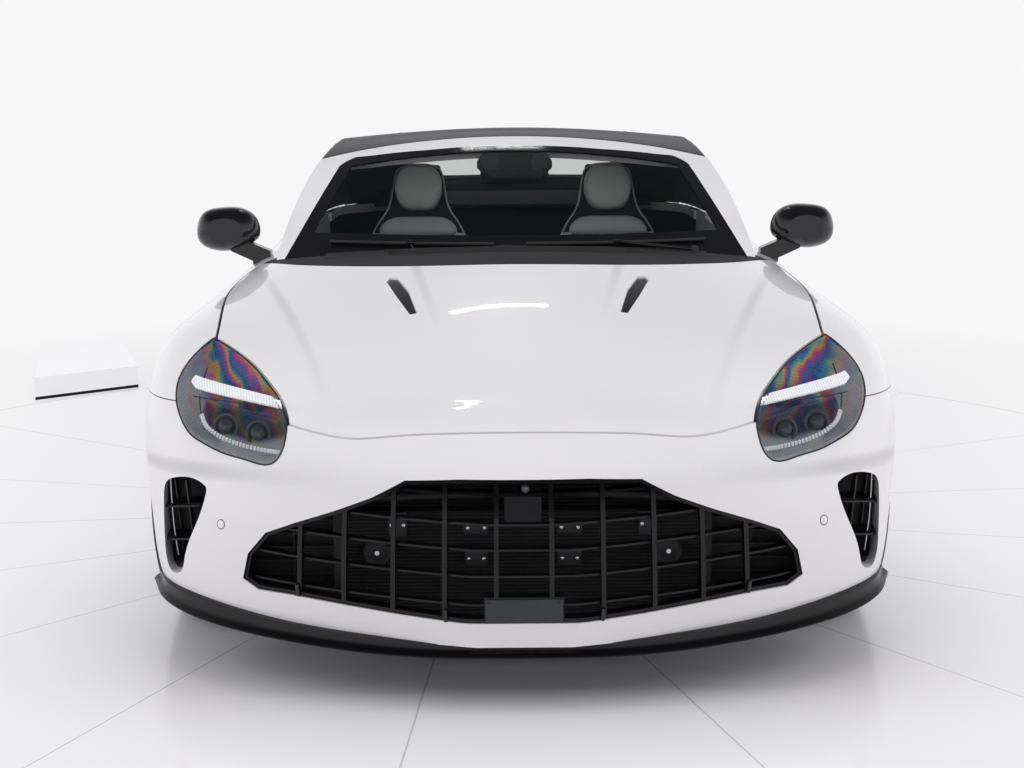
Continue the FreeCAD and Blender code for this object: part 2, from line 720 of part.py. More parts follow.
def make_wheels():
    """Four wheels and tyres."""
    for end, x, y, width in (("front", front_wheel_x, front_axle, front_tyre_width),
                             ("rear", rear_wheel_x, rear_axle, rear_tyre_width)):
        wheel = make_wheel(width)
        tyre = make_tyre(width)
        for shape in (wheel, tyre):
            shape.translate(Vector(x, y, tyre_radius))
        pair(end + "_wheel", wheel)
        pair(end + "_tyre", tyre)


# Knuckles, calipers and arms
carrier_radius = 58.0
carrier_wall = 30.0
carrier_gap = 12.0
knuckle_height = 212.0
knuckle_width = 60.0
knuckle_ear = 16.0
caliper_reach = 26.0
caliper_inner_radius = 120.0
caliper_wall = 30.0
caliper_gap = 5.0
caliper_angle = 58.0
kingpin_inset = 40.0
arm_wall = 20.0
arm_spread = 130.0
arm_tip = 17.0
arm_stem = 150.0
cross_wall = 50.0


def make_knuckle(rear):
    """Upright with stub axle and brake caliper about the wheel's origin."""
    outer_face = -disc_offset - carrier_gap
    plate = box(outer_face - carrier_wall, outer_face, -knuckle_width / 2, knuckle_width / 2,
                -knuckle_height, knuckle_height)
    carrier = Part.makeCylinder(carrier_radius, carrier_wall, Vector(outer_face - carrier_wall, 0, 0),
                                Vector(1, 0, 0))
    stub = Part.makeCylinder(stub_radius - seat_gap, hub_offset + hub_depth - outer_face,
                             Vector(outer_face, 0, 0), Vector(1, 0, 0))
    cover = Part.makeCylinder(disc_radius + caliper_reach, disc_wall + 2 * caliper_gap + 2 * caliper_wall,
                              Vector(-disc_offset - caliper_gap - caliper_wall, 0, 0), Vector(1, 0, 0),
                              caliper_angle)
    cover.rotate(Vector(0, 0, 0), Vector(1, 0, 0), (-90 if rear else 90) - caliper_angle / 2)
    cover = cover.cut(Part.makeCylinder(caliper_inner_radius, 2 * rear_tyre_width,
                                        Vector(-rear_tyre_width, 0, 0),
                                        Vector(1, 0, 0)))
    slot = Part.makeCylinder(disc_radius + caliper_gap, disc_wall + 2 * caliper_gap,
                             Vector(-disc_offset - caliper_gap, 0, 0), Vector(1, 0, 0))
    foot_y = (caliper_inner_radius + disc_radius) / 2
    foot = box(outer_face - carrier_wall, -disc_offset - caliper_gap, 0, foot_y, -carrier_wall, carrier_wall)
    if not rear:
        foot = foot.mirror(Vector(0, 0, 0), Vector(0, 1, 0))
    ear = box(outer_face - carrier_wall, arm_tip - kingpin_inset, -arm_tip, arm_tip,
              knuckle_height - knuckle_ear, knuckle_height)
    ears = [ear, ear.mirror(Vector(0, 0, 0), Vector(0, 0, 1))]
    return plate.fuse([carrier, stub, cover.cut(slot), foot.cut(slot)] + ears).removeSplitter()


def make_arm(inside, pin_x, y, low):
    """Wishbone from the chassis side out to the kingpin, level, with its lower face at low."""
    tip = pin_x + arm_tip
    fork = pin_x - arm_stem
    points = [Vector(tip, y - arm_tip, low), Vector(tip, y + arm_tip, low), Vector(fork, y + arm_tip, low),
              Vector(inside, y + arm_spread, low), Vector(inside, y + arm_spread - arm_tip * 2, low),
              Vector(fork - arm_tip, y, low),
              Vector(inside, y - arm_spread + arm_tip * 2, low), Vector(inside, y - arm_spread, low),
              Vector(fork, y - arm_tip, low)]
    return prism(outline(points), Vector(0, 0, arm_wall))


def make_running_gear():
    """Knuckles, suspension arms and the cross members between the rails."""
    floor_top = floor_low + tub_wall
    for rear, x, y, inside in ((False, front_wheel_x, front_axle, rail_x), (True, rear_wheel_x, rear_axle,
                                                                            boot_wall_x)):
        knuckle = make_knuckle(rear)
        knuckle.translate(Vector(x, y, tyre_radius))
        gap = 0 if rear else seat_gap
        solids = [make_arm(inside, x - kingpin_inset, y, tyre_radius + knuckle_height + gap),
                  make_arm(inside, x - kingpin_inset, y, tyre_radius - knuckle_height - gap - arm_wall)]
        if rear:
            solids = [knuckle.fuse(solids).removeSplitter()]
        else:
            pair("front_knuckle", knuckle)
        solids += [mirrored(solid) for solid in solids]
        solids.append(box(-inside + tub_wall, inside - tub_wall, y - cross_wall, y + cross_wall,
                          floor_top, floor_top + cross_wall))
        save("rear_suspension" if rear else "front_suspension", Part.makeCompound(solids))


# Nose: splitter, grille, lamps, ducts and bonnet vents
splitter_rear_shares = [(.955, -.80), (.70, -.80), (.50, -.88)]
vane_height_shares = [.634, .554, .479, .401, .316]
vane_rise_share = .028
vane_wall = 5.0
bar_place_shares = [.066, .19, .315, .436, .548]
bar_lean_share = .03
bar_wall = 11.0
grille_rim = 10.0
grille_inset = 6.0
grille_depth = 40.0
cover_plate_x = 92.0
cover_plate_low = 201.0
cover_plate_high = 277.0
radiator_x = 430.0
radiator_wall = 46.0
radiator_high_share = .66
beam_low_share = .44
beam_high_share = .54
lamp_depth = 105.0
lamp_wall = 6.0
projector_radius = 33.0
projector_places = [(.64, .755), (.745, .79)]
lamp_bar_shares = [(.56, .815), (.56, .837), (.86, .86), (.875, .848), (.86, .835)]
lamp_strip_shares = [(.56, .703), (.56, .72), (.70, .735), (.80, .765), (.88, .80), (.88, .785),
                     (.81, .752), (.71, .717)]
vent_shares = [(.285, -.60), (.305, -.603), (.35, -.542), (.388, -.483), (.379, -.469), (.357, -.472),
               (.319, -.523)]
vent_step = 5.0


def make_splitter():
    """Flat lip under the front bumper."""
    upper = front_outline(bumper_low_shares)
    lower = front_outline(list(reversed(splitter_low_shares)))
    strip = long_prism(outline(upper + lower))
    tail = plan_outline(splitter_rear_shares)
    tail += [plan_point(tail[-1].x, tub_nose_y), plan_point(0, tub_nose_y)]
    plan = tall_prism(outline(reflected(plan_outline(splitter_plan_shares) + tail)))
    lip = strip.fuse(mirrored(strip)).common(plan).removeSplitter()
    save("front_splitter", less(lip, *arches))


def vane_space(share):
    """Thin curved slice for one grille vane seen from the front."""
    middle_z = share * crest_height
    end_x = grille_shares[8][0] * half_width
    rise = vane_rise_share * crest_height
    low = [front_point(-end_x, middle_z + rise), front_point(0, middle_z),
           front_point(end_x, middle_z + rise)]
    high = [Vector(p.x, p.y, p.z + vane_wall) for p in low]
    wire = Part.Wire([Part.Arc(*low).toShape(), Part.makeLine(low[2], high[2]),
                      Part.Arc(*reversed(high)).toShape(), Part.makeLine(high[0], low[0])])
    return long_prism(wire)


def bar_space(share):
    """Slice for one upright grille bar seen from the front, leaning outward at the top."""
    foot = share * half_width
    top = foot - share * bar_lean_share * half_width * 2
    high = crest_height
    points = [front_point(foot - bar_wall / 2, 0), front_point(foot + bar_wall / 2, 0),
              front_point(top + bar_wall / 2, high), front_point(top - bar_wall / 2, high)]
    return long_prism(outline(points))


def make_grille():
    """Grille of thin level vanes behind upright bars, in a rim that fits the bumper opening."""
    hole = reflected(front_outline(grille_shares))
    nose = box(-body_width, body_width, -length, front_axle, 0, crest_height)
    opening = long_prism(outline(widened(hole, -seat_gap))).common(nose)
    bore = long_prism(outline(widened(hole, -grille_rim))).common(nose)
    front_layer = shell_between(grille_inset, grille_depth).common(opening)
    rear_layer = shell_between(grille_inset + bar_wall, grille_depth).common(opening)
    rim = front_layer.cut(bore)
    vanes = [rear_layer.common(vane_space(share)) for share in vane_height_shares]
    bars = []
    for share in bar_place_shares:
        space = bar_space(share)
        bars += [front_layer.common(space), front_layer.common(mirrored(space))]
    plate = front_layer.common(box(-cover_plate_x, cover_plate_x, -length, 0, cover_plate_low,
                                   cover_plate_high))
    save("front_grille", rim.fuse(vanes + bars + [plate]).removeSplitter())


def make_radiator():
    """Radiator with its side tanks, and the crash beam in front of it."""
    high = radiator_high_share * crest_height
    core = box(-radiator_x, radiator_x, tub_nose_y, tub_nose_y + radiator_wall, floor_low + tub_wall, high)
    beam = box(-radiator_x, radiator_x, tub_nose_y - radiator_wall, tub_nose_y,
               beam_low_share * crest_height, beam_high_share * crest_height)
    within = body_solid(grille_depth + seat_gap)
    save("radiator_pack", core.fuse(beam).removeSplitter().common(within))


def make_lamps():
    """Headlamp housings, light bars and clear lenses."""
    lamp = less(lamp_clear, *wheel_arches(moving_gap + seat_gap)).common(left_half)
    lens = shell_between(0, lens_wall).common(lamp)
    save("headlight_lenses", both(lens))
    body = shell_between(lens_wall, lamp_depth).common(lamp)
    hollow = shell_between(lens_wall - seat_gap, lamp_depth - lamp_wall).common(lamp)
    hollow = hollow.common(shrunk_lamp())
    housing = body.cut(hollow)
    projectors = []
    for x, z in projector_places:
        foot = front_point(x * half_width, z * crest_height)
        barrel = Part.makeCylinder(projector_radius, half_length, foot, Vector(0, 1, 0))
        projectors.append(barrel.common(shell_between(lamp_depth / 3,
                                                      lamp_depth - lamp_wall)).common(hollow))
    save("headlight_housings", both(housing.fuse(projectors).removeSplitter()))
    bars = []
    for shares in (lamp_bar_shares, lamp_strip_shares):
        space = long_prism(outline(front_outline(shares)))
        bars.append(shell_between(lamp_wall * 2, lamp_wall * 4).common(space).common(hollow))
    save("headlight_bars", both(Part.makeCompound(bars)))


def shrunk_lamp():
    """Inside of the headlamp housing seen from the front and from above."""
    inside = long_prism(outline(widened(front_outline(headlight_shares), -lamp_wall), True))
    return less(inside, bonnet_region(moving_gap + lamp_wall), *wheel_arches(2 * lamp_wall + seat_gap))


def make_bonnet():
    """Front-hinged bonnet with its two vents."""
    vents = tall_prism(outline(plan_outline(vent_shares)))
    vents = vents.fuse(mirrored(vents))
    save("bonnet", skin.common(bonnet_space).cut(vents))
    save("bonnet_vents", body_solid(vent_step).cut(inner).common(vents))


# Mirrors, seen from the front in shares of their own half width and half height
mirror_half_width = 98.0
mirror_half_height = 70.0
mirror_depth = 95.0
mirror_reach = 1035.0
mirror_y = -490.0
mirror_z = 975.0
mirror_shares = [(-.92, -.55), (-.30, -.95), (.45, -.98), (.93, -.60), (1, .10), (.80, .72), (.20, .98),
                 (-.55, .90),
                 (-.95, .45)]
mirror_section_shares = [(0, 1), (.45, .97), (.8, .80), (1, .55)]
stalk_shares = [(-1.45, -2), (-.90, -2), (-.85, -1.45), (-.15, -1), (-.05, -.60), (-.60, -.50),
                (-1.2, -.85), (-1.45, -1)]
stalk_width = 60.0


def mirror_section(shares, size, y):
    """Front view points about the mirror's middle, scaled and set at a place along the car."""
    middle_x = mirror_reach - mirror_half_width
    return [Vector(middle_x + x * size * mirror_half_width, y, mirror_z + z * size * mirror_half_height)
            for x, z in shares]


def make_mirrors():
    """Door mirrors with rounded housings, flat behind, on short stalks."""
    wires = [outline(mirror_section(mirror_shares, size, mirror_y - share * mirror_depth), True)
             for share, size in mirror_section_shares]
    head = Part.makeLoft(wires, True)
    stalk = prism(outline(mirror_section(stalk_shares, 1, mirror_y - stalk_width)),
                  Vector(0, stalk_width - stalk_width / 4, 0))
    pair("mirror", head.fuse(stalk.cut(body_solid(-seat_gap))).removeSplitter())


# Cabin
seat_x = 370.0
seat_width = 470.0
head_width = 270.0
seat_side_shares = [(-.03, .37), (.0, .52), (.14, .53), (.19, .60), (.285, 1.30), (.30, 1.395), (.325, 1.40),
                    (.335, 1.30), (.27, .50), (.22, .37)]
dash_x = 690.0
dash_shares = [(-.352, .70), (-.345, 1.04), (-.28, 1.09), (-.16, 1.06), (-.11, .97), (-.12, .84),
               (-.20, .70), (-.26, .55)]
console_x = 105.0
console_shares = [(-.24, .56), (-.10, .62), (.02, .58), (.19, .60), (.20, .50)]
steering_radius = 172.0
steering_wall = 16.0
steering_y = -130.0
steering_z = 745.0
steering_lean = 25.0
column_radius = 34.0
steering_hub_radius = 70.0
steering_hub_depth = 46.0
engine_x = 260.0
engine_nose_y = -1700.0
engine_tail_y = -860.0
engine_height = 600.0


def across(points, x0, x1):
    """Solid of a side view outline between two places across the car."""
    wire = outline(points)
    wire.translate(Vector(x0, 0, 0))
    return prism(wire, Vector(x1 - x0, 0, 0))


def make_cabin():
    """Seats, dashboard, console and steering wheel."""
    low = floor_low + tub_wall
    seat = across(side_outline(seat_side_shares), seat_x - seat_width / 2, seat_x + seat_width / 2)
    head_low = seat_side_shares[4][1] * crest_height
    trims = [box(0, seat_x - head_width / 2, 0, half_length, head_low, 2 * crest_height),
             box(seat_x + head_width / 2, body_width, 0, half_length, head_low, 2 * crest_height)]
    base = box(seat_x - seat_width / 3, seat_x + seat_width / 3,
               seat_side_shares[1][0] * half_length + overrun,
               seat_side_shares[9][0] * half_length - overrun, low,
               seat_side_shares[9][1] * crest_height - seat_gap)
    pair("seat", Part.makeCompound([less(seat, *trims)]))
    save("seat_frames", both(base))
    within = body_solid(panel_wall + seat_gap)
    wheel_axis = Vector(0, math.cos(math.radians(steering_lean)), math.sin(math.radians(steering_lean)))
    centre = Vector(seat_x, steering_y, steering_z)
    column_top = centre - wheel_axis * (steering_hub_depth / 2 + seat_gap)
    column_foot = column_top - wheel_axis * (3 * overrun)
    column = Part.makeCylinder(column_radius, 3 * overrun, column_foot, wheel_axis)
    dash = across(side_outline(dash_shares), -dash_x, dash_x).common(within)
    firewall = box(-dash_x, dash_x, -half_length, firewall_y, 0, 2 * crest_height)
    post = box(post_x - post_depth, post_x, -half_length, firewall_y + post_depth, 0, 2 * crest_height)
    save("dashboard", less(dash, firewall, post, mirrored(post)).fuse(column).removeSplitter())
    points = side_outline(console_shares)
    console_low = tunnel_height + seat_gap
    points += [side_point(points[-1].y, console_low), side_point(points[0].y, console_low)]
    save("centre_console", across(points, -console_x, console_x))
    ring = Part.makeTorus(steering_radius, steering_wall, centre, wheel_axis)
    hub_foot = centre - wheel_axis * (steering_hub_depth / 2)
    hub = Part.makeCylinder(steering_hub_radius, steering_hub_depth, hub_foot, wheel_axis)
    spokes = []
    for angle in (0, 180, 270):
        spoke = box(0, steering_radius, -steering_wall, steering_wall, -steering_wall / 2, steering_wall / 2)
        spoke.rotate(Vector(0, 0, 0), Vector(0, 0, 1), angle)
        spoke.rotate(Vector(0, 0, 0), Vector(1, 0, 0), steering_lean - 90)
        spoke.translate(centre)
        spokes.append(spoke)
    save("steering_wheel", ring.fuse([hub] + spokes).removeSplitter())
    engine = box(-engine_x, engine_x, engine_nose_y, engine_tail_y, low + cross_wall, engine_height)
    save("engine_block", engine)


# Tail: lights, diffuser and exhaust
tail_light_shares = [(.30, .81), (.62, .80), (1, .80), (1, .90), (.30, .90)]
diffuser_x = 330.0
diffuser_wall = 14.0
diffuser_top_share = .33
diffuser_rise = 70.0
diffuser_end = 2200.0
strake_count = 5
strake_wall = 8.0
tail_gap_x = 600.0
pipe_radius = 46.0
pipe_wall = 4.0
pipe_end = 2195.0
pipe_places = [395.0, 505.0]


def make_tail():
    """Rear bumper, tail lights, diffuser and exhaust tips."""
    behind = box(-body_width, body_width, rear_axle, length, 0, rear_bumper_top)
    light = long_prism(outline(front_outline(tail_light_shares))).common(behind)
    lights = light.fuse(mirrored(light))
    low = skirt_low_share * crest_height
    top = diffuser_top_share * crest_height
    region = box(-body_width, body_width, rear_axle, length, low, rear_bumper_top)
    under = box(-tail_gap_x, tail_gap_x, tub_tail_y, length, 0, top)
    cover = less(skin.common(region), lights, under, *arches)
    save("rear_bumper", cover)
    save("tail_lights", less(skin.common(lights), *arches))
    start = tub_tail_y
    points = [side_point(start, low), side_point(diffuser_end, low + diffuser_rise),
              side_point(diffuser_end, low + diffuser_rise + diffuser_wall),
              side_point(start, low + diffuser_wall)]
    wire = outline(points)
    wire.translate(Vector(-diffuser_x, 0, 0))
    plate = prism(wire, Vector(2 * diffuser_x, 0, 0))
    strakes = []
    for index in range(strake_count):
        x = -diffuser_x + index * (2 * diffuser_x - strake_wall) / (strake_count - 1)
        wire = outline([side_point(start, low - seat_gap), side_point(diffuser_end, low + strake_wall),
                        side_point(diffuser_end, top - seat_gap), side_point(start, top - seat_gap)])
        wire.translate(Vector(x, 0, 0))
        strakes.append(prism(wire, Vector(strake_wall, 0, 0)))
    save("rear_diffuser", plate.fuse(strakes).removeSplitter().common(body_solid(0)))
    pipes = []
    for x in pipe_places:
        z = low + pipe_radius
        pipe = Part.makeCylinder(pipe_radius, pipe_end - tub_tail_y, Vector(x, tub_tail_y, z),
                                 Vector(0, 1, 0))
        bore_foot = Vector(x, tub_tail_y + pipe_wall, z)
        pipe = pipe.cut(Part.makeCylinder(pipe_radius - pipe_wall, pipe_end, bore_foot, Vector(0, 1, 0)))
        pipes += [pipe, mirrored(pipe)]
    save("exhaust_tips", Part.makeCompound(pipes))


def make_liners():
    """Wheel arch liners under the fenders and quarter panels."""
    within = body_solid(panel_wall + moving_gap)
    liners = []
    for y, low in ((front_axle, rail_x), (rear_axle, boot_wall_x)):
        ring = turned(arch_radius + moving_gap, low, body_width, y, tyre_radius)
        ring = ring.cut(turned(arch_radius + seat_gap, low - overrun, body_width, y, tyre_radius))
        ring = ring.cut(box(0, body_width, -length, length, -overrun, sill_height))
        liner = ring.common(within)
        liners += [liner, mirrored(liner)]
    save("wheel_liners", Part.makeCompound(liners))


make_front_bumper()
make_fenders()
make_bonnet()
make_cowl()
make_doors()
make_skirts()
make_quarters()
make_rear_panels()
make_greenhouse()
make_floor_tub()
make_wheels()
make_running_gear()
make_splitter()
make_grille()
make_radiator()
make_lamps()
make_mirrors()
make_cabin()
make_tail()
make_liners()
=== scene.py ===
"""Render scene of a two-seat roadster convertible with its soft top up."""
import json
import logging
import math
from dataclasses import dataclass, field
from enum import Enum
from typing import Callable, Optional, Sequence, Union

import bmesh
import bpy
from mathutils import Euler, Matrix, Vector
from mathutils.bvhtree import BVHTree

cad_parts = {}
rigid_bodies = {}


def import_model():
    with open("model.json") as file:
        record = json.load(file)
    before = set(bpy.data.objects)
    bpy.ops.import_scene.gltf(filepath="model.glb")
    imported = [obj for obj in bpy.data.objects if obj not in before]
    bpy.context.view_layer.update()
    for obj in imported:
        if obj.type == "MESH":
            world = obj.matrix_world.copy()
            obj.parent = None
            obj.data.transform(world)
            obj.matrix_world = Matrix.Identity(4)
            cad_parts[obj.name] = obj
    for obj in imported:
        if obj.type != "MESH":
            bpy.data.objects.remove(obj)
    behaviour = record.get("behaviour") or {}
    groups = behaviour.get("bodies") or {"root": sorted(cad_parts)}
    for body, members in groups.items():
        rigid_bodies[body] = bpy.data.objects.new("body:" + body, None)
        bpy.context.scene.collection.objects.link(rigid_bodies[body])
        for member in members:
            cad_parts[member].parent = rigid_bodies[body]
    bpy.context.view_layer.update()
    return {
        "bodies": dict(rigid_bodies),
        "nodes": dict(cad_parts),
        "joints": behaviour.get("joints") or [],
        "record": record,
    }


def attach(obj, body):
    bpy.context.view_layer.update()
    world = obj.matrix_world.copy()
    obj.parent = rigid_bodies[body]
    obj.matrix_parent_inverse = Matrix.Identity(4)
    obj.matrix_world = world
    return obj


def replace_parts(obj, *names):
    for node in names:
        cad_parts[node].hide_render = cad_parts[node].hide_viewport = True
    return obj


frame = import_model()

LOG = logging.getLogger("roadster")
NODES = frame["nodes"]
AXLES = (("front", -1.3925), ("rear", 1.3125))
AXLE_HEIGHT = 0.363
SKY_WHITE = (0.925, 0.925, 0.93)
AHEAD, BEHIND, ABOVE, BESIDE = -2.6, 2.8, 1.6, 1.4
LEAST_FACING = 0.9
X_AXIS = (1, 0, 0)
MIRROR = Matrix.Scale(-1, 4, X_AXIS)

Colour = Point = tuple[float, float, float]
Pair = tuple[float, float]
Axes = tuple[int, int]
Piece = bpy.types.Object
Material = bpy.types.Material
Value = Union["Signal", float]
Test = Callable[[Vector, Vector], bool]
Land = Callable[[float, float], Vector]


class Side(Enum):
    """The two sides of the car."""

    LEFT = 1
    RIGHT = -1

    def __str__(self) -> str:
        """Name ending of the side's pieces."""
        return self.name.lower()

    @property
    def sign(self) -> int:
        """Direction of the side along the x axis."""
        return self.value

    def points(self, *left: Point) -> list[Point]:
        """Points of the left side, on this side of the car."""
        return [(x * self.sign, y, z) for x, y, z in left]


# Shader writing
class Signal:
    """A shader socket that Python expressions can be written on."""

    def __init__(self, writer: "Shader", socket: bpy.types.NodeSocket) -> None:
        """Keep the writer and the socket.

        Args:
            writer: The material's node writer.
            socket: An output socket that carries a number.
        """
        self.writer = writer
        self.socket = socket

    def math(self, operation: str, *others: Value) -> "Signal":
        """Write one Math node.

        Args:
            operation: Name of the Math operation.
            others: The second and third operands.

        Returns:
            The node's result.
        """
        values = {index + 1: other for index, other in enumerate(others)}
        values[0] = self
        return self.writer.node("Math", values, operation=operation)

    def __add__(self, other: Value) -> "Signal":
        """Sum."""
        return self.math("ADD", other)

    __radd__ = __add__

    def __sub__(self, other: Value) -> "Signal":
        """Difference."""
        return self.math("SUBTRACT", other)

    def __rsub__(self, other: float) -> "Signal":
        """Difference from a number."""
        return self.math("MULTIPLY", -1.0).math("ADD", other)

    def __mul__(self, other: Value) -> "Signal":
        """Product."""
        return self.math("MULTIPLY", other)

    __rmul__ = __mul__

    def __truediv__(self, other: Value) -> "Signal":
        """Quotient."""
        return self.math("DIVIDE", other)

    def __abs__(self) -> "Signal":
        """Size without sign."""
        return self.math("ABSOLUTE")

    def below(self, edge: Value, soft: float) -> "Signal":
        """Mask that is 1 under an edge and fades to 0 over a soft width above it."""
        return ((self - edge) / soft * -1.0 + 0.5).clamped()

    def clamped(self) -> "Signal":
        """Value held between 0 and 1."""
        return self.math("MAXIMUM", 0.0).math("MINIMUM", 1.0)

    def waves(self, rate: float) -> "Signal":
        """Waves from 0 to 1 along the value."""
        return (self * rate).math("SINE") * 0.5 + 0.5

    def least(self, other: Value) -> "Signal":
        """Smaller of two values."""
        return self.math("MINIMUM", other)

    def most(self, other: Value) -> "Signal":
        """Larger of two values."""
        return self.math("MAXIMUM", other)


def toned(colour: Colour, factor: float, lift: float = 0.0) -> Colour:
    """Darker or lighter colour."""
    return tuple(part * factor + lift for part in colour)


class Shader:
    """Writes the nodes of one material or of the surroundings."""

    def __init__(self, name: str, kind: str = "materials") -> None:
        """Start an empty node tree.

        Args:
            name: The material's name.
            kind: The list of data that it goes into, "materials" or "worlds".
        """
        self.material = getattr(bpy.data, kind).new(name)
        self.material.use_nodes = True
        self.tree = self.material.node_tree
        self.tree.nodes.clear()
        self._place: Optional[list[Signal]] = None
        self._vector: Optional[bpy.types.NodeSocket] = None

    def raw(self, kind: str, values: Optional[dict] = None, **settings: object) -> bpy.types.Node:
        """Write a node.

        Args:
            kind: The node's type.
            values: Values or links of its sockets, by name or number.
            settings: Its own settings, set first. A list under "stops" fills a colour ramp.

        Returns:
            The node.
        """
        node = self.tree.nodes.new("ShaderNode" + kind)
        for key, value in settings.items():
            if key == "stops":
                ramp = node.color_ramp
                while len(ramp.elements) < len(value):
                    ramp.elements.new(0.5)
                for element, (position, colour) in zip(ramp.elements, value):
                    element.position = position
                    element.color = (*colour, 1.0)
            else:
                setattr(node, key, value)
        for key, value in (values or {}).items():
            socket = node.inputs[key]
            if isinstance(value, Signal):
                self.tree.links.new(value.socket, socket)
            elif isinstance(value, bpy.types.NodeSocket):
                self.tree.links.new(value, socket)
            elif isinstance(value, tuple) and len(value) == 3 and len(socket.default_value) == 4:
                socket.default_value = (*value, 1.0)
            else:
                socket.default_value = value
        return node

    def node(self, kind: str, values: Optional[dict] = None, output: int = 0, **settings: object) -> Signal:
        """Write a node and take one of its outputs as a signal."""
        return Signal(self, self.raw(kind, values, **settings).outputs[output])

    def place_of(self, space: str) -> list[Signal]:
        """Coordinates x, y and z of a space."""
        self._vector = self.raw("TexCoord").outputs[space]
        split = self.raw("SeparateXYZ", {0: self._vector})
        return [Signal(self, split.outputs[axis]) for axis in range(3)]

    def place(self) -> list[Signal]:
        """Object coordinates x, y and z in metres."""
        if self._place is None:
            self._place = self.place_of("Object")
        return self._place

    def vector(self) -> bpy.types.NodeSocket:
        """Object coordinates as one vector."""
        self.place()
        return self._vector

    def about(self, centre: Pair) -> tuple[Signal, Signal, Signal]:
        """Coordinates y and z from a wheel's axle, and the distance from it."""
        y, z = (place - middle for place, middle in zip(self.place()[1:], centre))
        return y, z, (y * y + z * z).math("SQRT")

    def noise(self, scale: float, detail: float = 2.0, vector: Optional[Signal] = None) -> Signal:
        """Cloudy noise from 0 to 1."""
        values = {"Vector": vector or self.vector(), "Scale": scale, "Detail": detail}
        return self.node("TexNoise", values, noise_dimensions="3D")

    def cells(self, scale: float, vector: Optional[Signal] = None) -> Signal:
        """Distance to the nearest of scattered cells."""
        return self.node("TexVoronoi", {"Vector": vector or self.vector(), "Scale": scale})

    def mix(self, mask: Signal, low: Union[Colour, Signal], high: Union[Colour, Signal]) -> Signal:
        """Blend of two colours by a mask."""
        return self.node("Mix", {0: mask, 6: low, 7: high}, 2, data_type="RGBA")

    def ramp(self, value: Signal, stops: Sequence[tuple[float, Colour]]) -> Signal:
        """Colours of a ramp."""
        return self.node("ValToRGB", {0: value}, stops=stops)

    def bump(self, height: Signal, distance: float, strength: float = 1.0) -> Signal:
        """Normal bumped by a height."""
        return self.node("Bump", {"Height": height, "Distance": distance, "Strength": strength})

    def surface(self, colour: Signal, roughness: Value, relief: Optional[tuple] = None, **others: object) -> Material:
        """Close the material with a principled surface.

        Args:
            colour: Its base colour.
            roughness: Its roughness.
            relief: Height, distance and strength of its bumps.
            others: Further sockets, with a low line in the place of each space.

        Returns:
            The finished material.
        """
        values = {"Base Color": colour, "Roughness": roughness}
        values.update((key.replace("_", " "), value) for key, value in others.items())
        if relief is not None:
            values["Normal"] = self.bump(*relief)
        surface = self.raw("BsdfPrincipled", values)
        self.raw("OutputMaterial", {"Surface": surface.outputs[0]})
        return self.material


class Finish:
    """A finish that makes its material once and hands it out."""

    made: dict[str, Material] = {}

    @property
    def key(self) -> str:
        """Name of the material."""
        return getattr(self, "name")

    def write(self, shader: Shader) -> Material:
        """Write the material's nodes."""
        raise NotImplementedError

    def material(self) -> Material:
        """The finish's material."""
        if self.key not in Finish.made:
            Finish.made[self.key] = self.write(Shader(self.key))
        return Finish.made[self.key]


@dataclass(frozen=True)
class Ridge:
    """Soft ridge pressed into a panel.

    Attributes:
        over: Axis across the ridge.
        along: Axis along it.
        start: Its start, as values on both axes.
        end: The end where it fades out.
        width: Width of its slope.
        height: Its height at the start.
    """

    over: int
    along: int
    start: Pair
    end: Pair
    width: float
    height: float


@dataclass(frozen=True)
class CarPaint(Finish):
    """Glossy paint under clear coat, with dark shut lines where neighbouring panels meet, and pressed ridges whose
    slopes carry painted shade.
    """

    name: str = "white_paint"
    colour: Colour = (0.8, 0.79, 0.805)
    seam_width: float = 0.0045
    seams: tuple[tuple[int, float, Point, Point], ...] = ()
    ridges: tuple[Ridge, ...] = ()

    def ridge(self, place: Sequence[Signal], ridge: Ridge) -> tuple[Signal, Signal]:
        """Height and slope of one soft ridge pressed along a line, on both sides of the car.

        Args:
            place: Coordinates of the surface.
            ridge: The ridge's line and size.

        Returns:
            The height, which fades out towards the ridge's end, and the mask of its slope, where shade is painted.
        """
        (start_over, start_on), (end_over, end_on) = ridge.start, ridge.end
        over = abs(place[ridge.over]) if ridge.over == 0 else place[ridge.over]
        along = abs(place[ridge.along]) if ridge.along == 0 else place[ridge.along]
        slope = (end_over - start_over) / (end_on - start_on)
        line = (along - start_on) * slope + start_over
        side = ((over - line) / ridge.width).clamped()
        fade = ((along - end_on) / (start_on - end_on)).clamped()
        curve = side * side * (3 - side * 2)
        return curve * fade * ridge.height, side * (1 - side) * fade * 4

    def write(self, shader: Shader) -> Material:
        """Write the paint's nodes."""
        place = shader.place()
        haze = shader.noise(3.0, 1.0)
        shade = toned(self.colour, 0.965)
        colour = shader.mix(haze, shade, self.colour)
        height = shader.noise(260.0, 1.0) * 0.00004
        for ridge in self.ridges:
            rise, slope = self.ridge(place, ridge)
            height = height + rise
            # Painted shade: each ridge's slope is darkened towards grey.
            colour = shader.mix(slope * 0.3, colour, (0.55, 0.55, 0.575))
        for axis, at, low, high in self.seams:
            mask = abs(place[axis] - at).below(self.seam_width / 2, 0.0008)
            for other in range(3):
                if other != axis:
                    mask = mask * place[other].below(high[other], 0.001) * (1 - place[other].below(low[other], 0.001))
            colour = shader.mix(mask, colour, (0.02, 0.02, 0.022))
            height = height - mask * 0.002
        return shader.surface(colour, 0.3, (height, 1.0, 1.0), IOR=1.5, Coat_Weight=1.0, Coat_Roughness=0.02,
            Coat_IOR=1.5)


